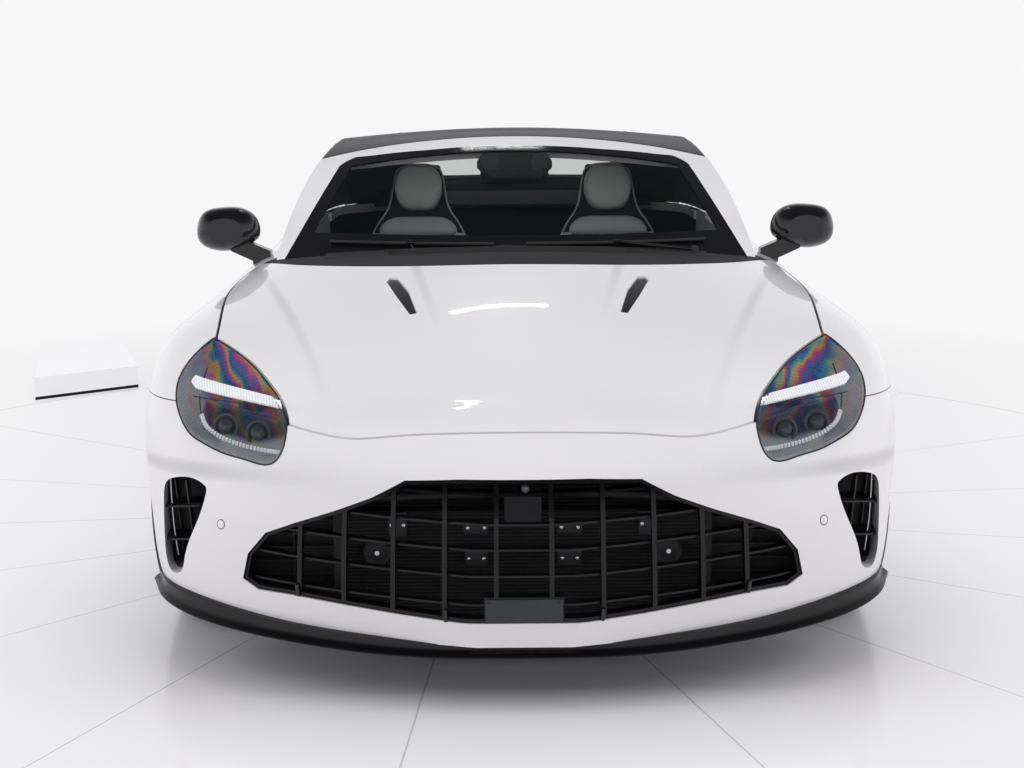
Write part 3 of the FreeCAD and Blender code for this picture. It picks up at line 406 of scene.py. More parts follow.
@dataclass(frozen=True)
class GlossPlastic(Finish):
    """Hard glossy plastic or painted black."""

    name: str = "gloss_black"
    colour: Colour = (0.006, 0.006, 0.007)
    roughness: float = 0.1
    coat: float = 0.4

    def write(self, shader: Shader) -> Material:
        """Write the plastic's nodes."""
        cloud = shader.noise(18.0, 3.0)
        grain = shader.noise(300.0, 1.0)
        return shader.surface(shader.mix(cloud, self.colour, toned(self.colour, 1.6)), cloud * 0.06 + self.roughness,
                              (grain, 0.0002, 0.2), Specular_IOR_Level=0.4, Coat_Weight=self.coat, Coat_Roughness=0.03)


@dataclass(frozen=True)
class GrainedPlastic(Finish):
    """Moulded plastic with a fine grain."""

    name: str = "grained_black"
    colour: Colour = (0.018, 0.018, 0.019)
    roughness: float = 0.55
    grain: float = 900.0
    depth: float = 0.0004

    def write(self, shader: Shader) -> Material:
        """Write the plastic's nodes."""
        cloud = shader.noise(14.0, 3.0)
        grain = shader.cells(self.grain)
        rough = self.roughness + cloud * 0.12 - grain * 0.05
        return shader.surface(shader.mix(cloud, self.colour, toned(self.colour, 1.7, 0.002)), rough,
            (grain, self.depth, 0.6))


@dataclass(frozen=True)
class WornMetal(Finish):
    """Bare, cast or coated metal."""

    name: str = "cast_metal"
    colour: Colour = (0.2, 0.2, 0.21)
    metallic: float = 1.0
    roughness: float = 0.42
    grain: float = 240.0

    def write(self, shader: Shader) -> Material:
        """Write the metal's nodes."""
        cloud = shader.noise(9.0, 4.0)
        grain = shader.noise(self.grain, 3.0)
        dark = toned(self.colour, 0.72)
        return shader.surface(shader.mix(cloud, dark, self.colour), self.roughness + cloud * 0.15 + grain * 0.08,
            (grain, 0.0006, 0.5), Metallic=self.metallic)


@dataclass(frozen=True)
class TurnedMetal(Finish):
    """Machined metal with fine rings about a wheel's axle."""

    name: str = "turned_metal"
    colour: Colour = (0.62, 0.63, 0.65)
    centre: Pair = (0.0, AXLE_HEIGHT)
    roughness: float = 0.25

    def write(self, shader: Shader) -> Material:
        """Write the metal's nodes."""
        _, _, reach = shader.about(self.centre)
        rings = reach.waves(4200.0)
        cloud = shader.noise(30.0, 2.0)
        return shader.surface(shader.mix(cloud, toned(self.colour, 0.8), self.colour), self.roughness + rings * 0.12,
            (rings, 0.0002, 0.4), Metallic=1.0)


@dataclass(frozen=True)
class Pane(Finish):
    """Thin tinted glass, with an opaque border where one is asked for."""

    name: str = "tinted_glass"
    tint: Colour = (0.01, 0.018, 0.016)
    alpha: float = 0.42
    border: Optional[Callable[[Shader], Signal]] = None

    def write(self, shader: Shader) -> Material:
        """Write the glass's nodes."""
        haze = shader.noise(2.0, 2.0)
        alpha = haze * 0.03 + self.alpha
        rough = 0.02 + haze * 0.01
        colour = shader.mix(haze, self.tint, toned(self.tint, 1.3))
        if self.border is not None:
            mask = self.border(shader)
            alpha = alpha.most(mask)
            rough = rough + mask * 0.08
            colour = shader.mix(mask, colour, (0.006, 0.006, 0.007))
        return shader.surface(colour, rough, IOR=1.45, Alpha=alpha)


@dataclass(frozen=True)
class WovenTop(Finish):
    """Matt woven fabric of the soft top."""

    name: str = "top_fabric"
    colour: Colour = (0.011, 0.011, 0.0125)
    thread: float = 1400.0

    def write(self, shader: Shader) -> Material:
        """Write the fabric's nodes."""
        x, y, z = shader.place()
        across = (x * self.thread).math("SINE")
        along = ((y + z * 0.6) * self.thread).math("SINE")
        weave = across * along * 0.5 + 0.5
        cloud = shader.noise(6.0, 4.0)
        fuzz = shader.noise(900.0, 2.0)
        light = toned(self.colour, 2.1, 0.004)
        colour = shader.mix(weave * 0.6 + cloud * 0.3 + fuzz * 0.2, self.colour, light)
        height = weave + fuzz * 0.5 + cloud * 2.0
        return shader.surface(colour, 0.88 + fuzz * 0.1, (height, 0.0007, 0.55), Sheen_Weight=0.22,
            Sheen_Roughness=0.5)


@dataclass(frozen=True)
class Hide(Finish):
    """Grained leather with creases, perforated where asked for."""

    name: str = "grey_leather"
    colour: Colour = (0.5, 0.51, 0.53)
    perforated: bool = False

    def write(self, shader: Shader) -> Material:
        """Write the leather's nodes."""
        pores = shader.cells(420.0)
        cloud = shader.noise(7.0, 4.0)
        creases = shader.noise(45.0, 4.0)
        dark = toned(self.colour, 0.8)
        colour = shader.mix(cloud * 0.6 + creases * 0.4, dark, self.colour)
        height = pores * 0.5 + creases * 0.6
        if self.perforated:
            x, _, z = shader.place()
            dots = ((x * 1050.0).math("SINE") * (z * 1050.0).math("SINE")).below(0.72, 0.08)
            colour = shader.mix(dots, (0.03, 0.03, 0.03), colour)
            height = height + dots * 1.2
        return shader.surface(colour, 0.42 + pores * 0.12 + cloud * 0.08, (height, 0.0006, 0.5), Coat_Weight=0.08)


@dataclass(frozen=True)
class Rubber(Finish):
    """Tyre rubber with fine side rings and patches of dust."""

    name: str = "tyre_rubber"
    colour: Colour = (0.018, 0.018, 0.018)
    centre: Pair = (0.0, AXLE_HEIGHT)

    def write(self, shader: Shader) -> Material:
        """Write the rubber's nodes."""
        _, _, reach = shader.about(self.centre)
        side = reach.below(0.345, 0.004)
        rings = reach.waves(1500.0)
        cloud = shader.noise(22.0, 4.0)
        grit = shader.noise(700.0, 2.0)
        light = toned(self.colour, 1.9, 0.006)
        return shader.surface(shader.mix(cloud * 0.7 + grit * 0.3, self.colour, light), 0.72 + grit * 0.15 - side
            * 0.1, (grit * 0.5 + rings * side * 0.5, 0.0007, 0.5))


@dataclass(frozen=True)
class Tread(Finish):
    """Tyre rubber with slanted sipes across the running face, darkened as painted shade, and fine rings on the side
    walls.
    """

    name: str = "tread"
    colour: Colour = (0.014, 0.014, 0.014)
    centre: Pair = (0.0, AXLE_HEIGHT)
    middle: float = 0.8285
    half: float = 0.1
    reach: float = 0.362

    def write(self, shader: Shader) -> Material:
        """Write the rubber's nodes."""
        x = shader.place()[0]
        y, z, reach = shader.about(self.centre)
        turn = z.math("ARCTAN2", y) * (72 / (2 * math.pi))
        over = (abs(x - self.middle)) / self.half
        sipe = abs((turn + over * 1.3).math("FRACT") - 0.5).below(0.07, 0.03)
        block = abs((turn * 0.5 - over * 0.9).math("FRACT") - 0.5).below(0.06, 0.02) * (1 - over.below(0.6, 0.05))
        face = 1 - reach.below(self.reach - 0.004, 0.002)
        cuts = sipe.most(block) * face
        side = reach.below(self.reach - 0.02, 0.004)
        rings = reach.waves(1500.0)
        flutes = turn.waves(24.0)
        band = abs(reach - self.reach + 0.036).below(0.009, 0.002)
        cloud = shader.noise(22.0, 4.0)
        grit = shader.noise(700.0, 2.0)
        light = toned(self.colour, 2.0, 0.006)
        colour = shader.mix(cloud * 0.6 + grit * 0.3, self.colour, light)
        # Painted shade: the cuts of the sipes and blocks are darkened.
        colour = shader.mix(cuts, colour, (0.003, 0.003, 0.003))
        height = grit * 0.15 + rings * side * 0.25 - cuts * 2.5 + flutes * band * side * 0.8
        return shader.surface(colour, 0.7 + grit * 0.16 - side * 0.12, (height, 0.0012, 0.6))


@dataclass(frozen=True)
class Glow(Finish):
    """Lamp part that gives a little light of its own; on the rear reflectors this glow is painted light."""

    name: str = "white_light_guide"
    colour: Colour = (0.95, 0.96, 1.0)
    power: float = 0.6
    ribs: float = 900.0

    def write(self, shader: Shader) -> Material:
        """Write the light guide's nodes."""
        x, _, z = shader.place()
        ribs = (x + z * 0.3).waves(self.ribs)
        colour = shader.mix(ribs, toned(self.colour, 0.82), self.colour)
        return shader.surface(colour, 0.18, (ribs, 0.0006, 0.5), Coat_Weight=0.6, Emission_Color=colour,
            Emission_Strength=self.power)


@dataclass(frozen=True)
class Prism(Finish):
    """Lamp facets with painted reflections: rainbow bands of split light painted into the colour, and a faint painted
    glow.
    """

    name: str = "prism_facets"
    level: float = 1.0

    def write(self, shader: Shader) -> Material:
        """Write the facets' nodes."""
        x, _, z = shader.place()
        wide = abs(x)
        warp = shader.noise(8.0, 2.0)
        other = shader.noise(34.0, 2.0)
        sweep = (wide * 13.0 - z * 9.0 + warp * 2.0 + other * 0.45).math("FRACT")
        # Painted reflection: rainbow bands that stand in for studio light split by the facets.
        bands = shader.ramp(sweep, [(0.0, (0.04, 0.1, 0.32)), (0.14, (0.05, 0.26, 0.55)), (0.28, (0.12, 0.42, 0.36)),
                                    (0.4, (0.62, 0.5, 0.16)), (0.52, (0.8, 0.28, 0.08)), (0.64, (0.62, 0.07, 0.3)),
                                    (0.78, (0.26, 0.08, 0.52)), (0.9, (0.05, 0.16, 0.45)), (1.0, (0.04, 0.1, 0.32))])
        ribs = (wide + z * 0.15).waves(1500.0)
        fine = (wide * 0.4 + z).waves(700.0)
        # Darker towards the bottom of the lamp.
        low = (z - (0.8 - wide * 0.19)).below(0.0, 0.05)
        colour = shader.mix(ribs * 0.45 + fine * 0.15, bands, (0.015, 0.015, 0.025))
        colour = shader.mix(low * 0.72, colour, (0.02, 0.026, 0.036))
        # A level under 1 mutes the painted reflection bands towards a dark smoked tone.
        if self.level < 1.0:
            colour = shader.mix(shader.noise(5.0, 1.0) * 0.1 + (1 - self.level), colour, (0.01, 0.013, 0.019))
        # Paler grey towards the lamp's lower and outer rim, outside an oval about its middle.
        over, fall = wide - 0.66, z - 0.66
        bowl = 1 - (over * over * 46.0 + fall * fall * 118.0).below(0.85, 0.3)
        edge = z.below(0.592, 0.022).most(1 - wide.below((z - 0.56) * 0.24 + 0.785, 0.04))
        colour = shader.mix(bowl * edge * 0.75, colour, (0.33, 0.35, 0.37))
        # Painted light: the facets glow faintly, though they are no lit lamp.
        return shader.surface(colour, ribs * 0.1 + 0.2, (ribs + fine * 0.5, 0.0008, 0.5), Metallic=0.35,
            Coat_Weight=0.8, Emission_Color=colour, Emission_Strength=0.35)


@dataclass(frozen=True)
class Core(Finish):
    """Finned radiator core with its tubes."""

    name: str = "radiator_fins"
    colour: Colour = (0.055, 0.057, 0.06)

    def write(self, shader: Shader) -> Material:
        """Write the core's nodes."""
        x, _, z = shader.place()
        tubes = z.waves(700.0)
        fins = x.waves(3000.0)
        colour = shader.mix(tubes * 0.6 + fins * 0.3, (0.008, 0.008, 0.009), self.colour)
        return shader.surface(colour, 0.5 + fins * 0.1, (tubes + fins * 0.4, 0.002, 0.8), Metallic=0.6)


@dataclass(frozen=True)
class Carpet(Finish):
    """Sealed floor metal, with dark carpet on its upper side in the cabin."""

    name: str = "floor_carpet"

    def write(self, shader: Shader) -> Material:
        """Write the floor's nodes."""
        _, y, z = shader.place()
        inside = y.below(0.97, 0.002) * (1 - y.below(-0.8, 0.002)) * (1 - z.below(0.15, 0.002))
        boot = (1 - y.below(0.955, 0.002)) * (1 - z.below(0.44, 0.002))
        pile = inside.most(boot)
        tufts = shader.noise(600.0, 3.0)
        cloud = shader.noise(8.0, 4.0)
        fleece = shader.mix(tufts, (0.012, 0.012, 0.013), (0.045, 0.045, 0.048))
        sealed = shader.mix(cloud, (0.03, 0.03, 0.032), (0.055, 0.055, 0.058))
        return shader.surface(shader.mix(pile, sealed, fleece), 0.62 + pile * 0.33, (tufts * (pile * 0.9 + 0.1), 0.003,
            0.7))


# Modelling moves, one mesh at a time
def select_none() -> None:
    """Leave edit mode and select nothing."""
    if bpy.context.object is not None and bpy.context.object.mode != "OBJECT":
        bpy.ops.object.mode_set(mode="OBJECT")
    bpy.ops.object.select_all(action="DESELECT")


def select_only(piece: Piece) -> Piece:
    """Select one piece alone and make it active."""
    select_none()
    piece.select_set(True)
    bpy.context.view_layer.objects.active = piece
    return piece


def name_new(name: str) -> Piece:
    """Name the new active piece and its mesh."""
    piece = bpy.context.object
    piece.name = name
    piece.data.name = name
    return piece


def put_in(name: str, data: bpy.types.ID) -> Piece:
    """Put new data into the scene as an object."""
    thing = bpy.data.objects.new(name, data)
    bpy.context.scene.collection.objects.link(thing)
    return thing


def box(name: str, low: Point, high: Point) -> Piece:
    """Box between two corners.

    Args:
        name: The piece's name.
        low: Lowest corner.
        high: Highest corner.

    Returns:
        The box, with its place in its mesh.
    """
    select_none()
    middle = tuple((a + b) / 2 for a, b in zip(low, high))
    size = tuple(b - a for a, b in zip(low, high))
    bpy.ops.mesh.primitive_cube_add(size=1, location=middle, scale=size)
    return settled(name_new(name))


def leaning(axis: Point) -> Euler:
    """Turn that lays an upright form along an axis."""
    return Vector((0, 0, 1)).rotation_difference(Vector(axis)).to_euler()


def rod(name: str, radius: float, depth: float, middle: Point, axis: Point = (0, 0, 1),
        sides: int = 32, top: Optional[float] = None) -> Piece:
    """Round rod or cone about an axis.

    Args:
        name: The piece's name.
        radius: Radius at its foot.
        depth: Length along the axis.
        middle: Its middle point.
        axis: Direction of its length.
        sides: Number of sides.
        top: Radius at its other end, if it tapers.

    Returns:
        The rod, with its place in its mesh.
    """
    select_none()
    bpy.ops.mesh.primitive_cone_add(vertices=sides, radius1=radius, radius2=radius if top is None else top,
                                    depth=depth, location=middle, rotation=leaning(axis))
    return settled(name_new(name))


def torus(name: str, radius: float, wall: float, middle: Point, axis: Point = (0, 0, 1),
         sides: int = 64, wall_sides: int = 14) -> Piece:
    """Torus about an axis."""
    select_none()
    bpy.ops.mesh.primitive_torus_add(major_radius=radius, minor_radius=wall, major_segments=sides,
                                     minor_segments=wall_sides, location=middle, rotation=leaning(axis))
    return settled(name_new(name))


def ball(name: str, radius: float, middle: Point, scale: Point = (1, 1, 1)) -> Piece:
    """Ball, stretched where asked for."""
    select_none()
    bpy.ops.mesh.primitive_uv_sphere_add(segments=32, ring_count=18, radius=radius, location=middle, scale=scale)
    return settled(name_new(name))


def loft(name: str, rows: Sequence[Sequence[Point]], closed: bool = False) -> Piece:
    """Closed form through rows of points.

    Args:
        name: The piece's name.
        rows: Rows with the same number of points, each a closed ring.
        closed: Whether the last row runs on into the first one.

    Returns:
        The piece, with closed ends where the rows have ends.
    """
    count = len(rows[0])
    points = [tuple(point) for row in rows for point in row]
    faces: list[tuple[int, ...]] = [] if closed else [tuple(reversed(range(count)))]
    for row in range(len(rows) - (not closed)):
        low, high = row * count, (row + 1) % len(rows) * count
        for index in range(count):
            after = (index + 1) % count
            faces.append((low + index, low + after, high + after, high + index))
    if not closed:
        faces.append(tuple(range(len(points) - count, len(points))))
    mesh = bpy.data.meshes.new(name)
    mesh.from_pydata(points, [], faces)
    return outward(select_only(put_in(name, mesh)))


def smooth_run(points: Sequence[Point], steps: int) -> list[Vector]:
    """Even run of places along a smooth line through points.

    Args:
        points: Points that the line passes.
        steps: Number of runs between two of them.

    Returns:
        The places, ends included.
    """
    ends = [Vector(points[0]) * 2 - Vector(points[1]), *map(Vector, points), Vector(points[-1]) * 2
        - Vector(points[-2])]
    places = []
    for index in range(1, len(ends) - 2):
        before, start, end, after = ends[index - 1:index + 3]
        for step in range(steps):
            share = step / steps
            square, cube = share * share, share ** 3
            places.append(0.5 * (2 * start + (end - before) * share + (2 * before - 5 * start + 4 * end - after)
                * square + (3 * start - 3 * end + after - before) * cube))
    places.append(ends[-2])
    return places


def trimmed(piece: Piece, corners: Sequence[Pair], axes: Axes) -> Piece:
    """Cut a flat grid down to a convex outline.

    Args:
        piece: The grid.
        corners: Corners of the outline in order, as seen along the third axis.
        axes: The two axes that the corners are given in.

    Returns:
        The trimmed piece.
    """
    middle = Vector((sum(c[0] for c in corners) / len(corners), sum(c[1] for c in corners) / len(corners)))
    select_only(piece)
    bpy.ops.object.mode_set(mode="EDIT")
    for start, end in zip(corners, list(corners[1:]) + [corners[0]]):
        along = Vector(end) - Vector(start)
        out = Vector((along.y, -along.x)).normalized()
        if out.dot(Vector(start) - middle) < 0:
            out = -out
        plane = Vector()
        normal = Vector()
        plane[axes[0]], plane[axes[1]] = start
        normal[axes[0]], normal[axes[1]] = out
        bpy.ops.mesh.select_all(action="SELECT")
        bpy.ops.mesh.bisect(plane_co=plane, plane_no=normal, clear_outer=True)
    leave_edit()
    return piece


def draped(name: str, corners: Sequence[Pair], axes: Axes,
           land: Land, wall: float, steps: int = 24) -> Piece:
    """Thin sheet with a convex outline, laid on a surface.

    Args:
        name: The piece's name.
        corners: Corners of its outline in order.
        axes: The two axes that the corners are given in.
        land: Gives the place on the surface for two such coordinates.
        wall: Thickness of the sheet.
        steps: Number of faces along its longer side.

    Returns:
        The sheet as a closed mesh.
    """
    select_none()
    low = [min(c[i] for c in corners) for i in range(2)]
    high = [max(c[i] for c in corners) for i in range(2)]
    bpy.ops.mesh.primitive_grid_add(x_subdivisions=steps, y_subdivisions=steps, size=1)
    piece = name_new(name)
    for vertex in piece.data.vertices:
        x, y = vertex.co.x + 0.5, vertex.co.y + 0.5
        place = Vector()
        place[axes[0]] = low[0] + x * (high[0] - low[0])
        place[axes[1]] = low[1] + y * (high[1] - low[1])
        vertex.co = place
    trimmed(piece, corners, axes)
    for vertex in piece.data.vertices:
        vertex.co = land(vertex.co[axes[0]], vertex.co[axes[1]])
    outward(piece)
    modified(piece, "SOLIDIFY", thickness=wall, offset=0.0)
    outward(piece)
    return shaded(piece, 35.0)


def settled(piece: Piece) -> Piece:
    """Move a piece's place, turn and size into its mesh."""
    select_only(piece)
    bpy.ops.object.transform_apply(location=True, rotation=True, scale=True)
    return piece


def pick_in_edit(piece: Piece, kind: str, test: Test) -> int:
    """Select faces or vertices in edit mode by place and direction.

    Args:
        piece: The mesh.
        kind: FACE or VERT.
        test: Says yes or no for an element's middle and its normal.

    Returns:
        How many were selected.
    """
    select_only(piece)
    bpy.ops.object.mode_set(mode="EDIT")
    bpy.ops.mesh.select_mode(type=kind)
    bpy.ops.mesh.select_all(action="DESELECT")
    mesh = bmesh.from_edit_mesh(piece.data)
    if kind == "FACE":
        picked = [face for face in mesh.faces if test(face.calc_center_median(), face.normal)]
    else:
        picked = [vertex for vertex in mesh.verts if test(vertex.co, vertex.normal)]
    for element in picked:
        element.select_set(True)
    bmesh.update_edit_mesh(piece.data)
    return len(picked)


def leave_edit() -> None:
    """Leave edit mode."""
    bpy.ops.object.mode_set(mode="OBJECT")


def inset(piece: Piece, test: Test, width: float,
          depth: float = 0.0) -> Piece:
    """Inset picked faces and sink or raise them."""
    if pick_in_edit(piece, "FACE", test):
        bpy.ops.mesh.inset(thickness=width, depth=depth)
    leave_edit()
    return piece


def shifted(piece: Piece, test: Test, move: Point) -> Piece:
    """Move picked vertices."""
    if pick_in_edit(piece, "VERT", test):
        bpy.ops.transform.translate(value=move)
    leave_edit()
    return piece


def modified(piece: Piece, kind: str, **settings: object) -> Piece:
    """Add a modifier and apply it.

    Args:
        piece: The mesh.
        kind: Type of the modifier.
        settings: The modifier's settings.

    Returns:
        The piece.
    """
    select_only(piece)
    modifier = piece.modifiers.new(kind.title(), kind)
    for key, value in settings.items():
        setattr(modifier, key, value)
    bpy.ops.object.modifier_apply(modifier=modifier.name)
    return piece


def rounded(piece: Piece, width: float, segments: int = 3, angle: float = 30.0) -> Piece:
    """Round the piece's sharp edges and shade it smooth."""
    modified(piece, "BEVEL", width=width, segments=segments, limit_method="ANGLE",
                 angle_limit=math.radians(angle), harden_normals=False, use_clamp_overlap=True)
    return shaded(piece, 40.0)


def shaded(piece: Piece, angle: float = 40.0) -> Piece:
    """Shade smooth, with sharp edges over an angle."""
    select_only(piece)
    bpy.ops.object.shade_smooth_by_angle(angle=math.radians(angle))
    return piece


def outward(piece: Piece) -> Piece:
    """Merge doubles and turn all faces outward."""
    select_only(piece)
    bpy.ops.object.mode_set(mode="EDIT")
    bpy.ops.mesh.select_all(action="SELECT")
    bpy.ops.mesh.remove_doubles(threshold=0.00005)
    bpy.ops.mesh.normals_make_consistent(inside=False)
    leave_edit()
    return piece


def copied(piece: Piece, name: str, change: Matrix) -> Piece:
    """Copy of a piece with its own mesh, moved by a matrix."""
    copy = piece.copy()
    copy.data = piece.data.copy()
    copy.name = name
    copy.data.name = name
    bpy.context.scene.collection.objects.link(copy)
    copy.data.transform(change)
    if change.determinant() < 0:
        copy.data.flip_normals()
    return copy


def mirror_image(piece: Piece, name: str) -> Piece:
    """Mirror image on the other side of the car, attached to the car's body."""
    copy = copied(piece, name, MIRROR)
    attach(copy, "car")
    return copy


def sided(piece: Piece, side: Side) -> Piece:
    """Mirror a piece of the left side where the right one is asked for."""
    piece.data.transform(Matrix.Scale(side.sign, 4, X_AXIS))
    return outward(piece)


def joined(name: str, pieces: Sequence[Piece]) -> Piece:
    """Join pieces into one."""
    select_none()
    for piece in pieces:
        piece.select_set(True)
    bpy.context.view_layer.objects.active = pieces[0]
    bpy.ops.object.join()
    return name_new(name)


def tube(name: str, points: Sequence[Point], radius: float, sides: int = 10, smooth: bool = True) -> Piece:
    """Round tube along a smooth line through points.

    Args:
        name: The piece's name.
        points: Points of the line.
        radius: Radius of the tube.
        sides: Number of sides.
        smooth: Whether the line is a curve rather than straight runs.

    Returns:
        A closed mesh.
    """
    curve = bpy.data.curves.new(name, "CURVE")
    curve.dimensions = "3D"
    curve.bevel_depth = radius
    curve.bevel_resolution = max(1, sides // 4)
    curve.use_fill_caps = True
    curve.resolution_u = 8
    spline = curve.splines.new("NURBS" if smooth else "POLY")
    spline.points.add(len(points) - 1)
    for knot, point in zip(spline.points, points):
        knot.co = (*point, 1.0)
    if smooth:
        spline.order_u = 3
        spline.use_endpoint_u = True
    select_only(put_in(name, curve))
    bpy.ops.object.convert(target="MESH")
    return shaded(name_new(name), 50.0)


class Fitter:
    """Finds places on the car's own surfaces."""

    def __init__(self, *nodes: Union[str, Piece]) -> None:
        """Gather the meshes whose surfaces are looked for.

        Args:
            nodes: Names of CAD nodes, or pieces made here.
        """
        points: list[Vector] = []
        faces: list[tuple[int, ...]] = []
        for node in nodes:
            mesh = (NODES[node] if isinstance(node, str) else node).data
            start = len(points)
            points += [vertex.co.copy() for vertex in mesh.vertices]
            faces += [tuple(start + index for index in face.vertices) for face in mesh.polygons]
        self.tree = BVHTree.FromPolygons(points, faces)

    def hit(self, origin: Point, direction: Point) -> Optional[tuple[Vector, Vector]]:
        """First place that a straight line meets, with the surface's normal towards its start."""
        place, normal, _, _ = self.tree.ray_cast(Vector(origin), Vector(direction))
        if place is None:
            return None
        if normal.dot(Vector(direction)) > 0:
            normal = -normal
        return place, normal

    def sunk(self, origin: Point, direction: Point, depth: float, missed: Point) -> Vector:
        """First place that a line meets, sunk by a depth along its normal, or a stand-in where it meets none."""
        found = self.hit(origin, direction)
        return Vector(missed) if found is None else found[0] - found[1] * depth

    def front(self, x: float, z: float, depth: float = 0.0) -> Vector:
        """Place on the nose seen from the front."""
        return self.sunk((x, AHEAD, z), (0, 1, 0), depth, (x, -1.9, z))

    def top(self, x: float, y: float, depth: float = 0.0) -> Vector:
        """Place on the upper side seen from above."""
        return self.sunk((x, y, ABOVE), (0, 0, -1), depth, (x, y, 0.8))

    def flank(self, side: Side, lift: float) -> Land:
        """Places over the skin of one side of the car, looked for on the left one."""
        def find(y: float, z: float) -> Vector:
            """Place over the skin."""
            place = self.sunk((BESIDE, y, z), (-1, 0, 0), -lift, (0.95, y, z))
            return Vector((place.x * side.sign, place.y, place.z))
        return find


def facing(axis: int, sign: int = 0) -> Test:
    """Test for faces that look along an axis, or both ways along it where no sign is given."""
    if sign == 0:
        return lambda place, normal: abs(normal[axis]) > LEAST_FACING
    return lambda place, normal: normal[axis] * sign > LEAST_FACING


def dress(piece: Piece, finish: Finish, body: str = "car") -> Piece:
    """Give a new piece its finish and its body.

    Args:
        piece: The new piece.
        finish: Its finish.
        body: The body that it moves with.

    Returns:
        The piece.
    """
    piece.data.materials.clear()
    piece.data.materials.append(finish.material())
    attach(piece, body)
    LOG.info("%s on %s, %d faces", piece.name, body, len(piece.data.polygons))
    return piece


def coat(node: str, finish: Finish) -> None:
    """Give a carried-over CAD node its finish."""
    mesh = NODES[node].data
    mesh.materials.clear()
    mesh.materials.append(finish.material())


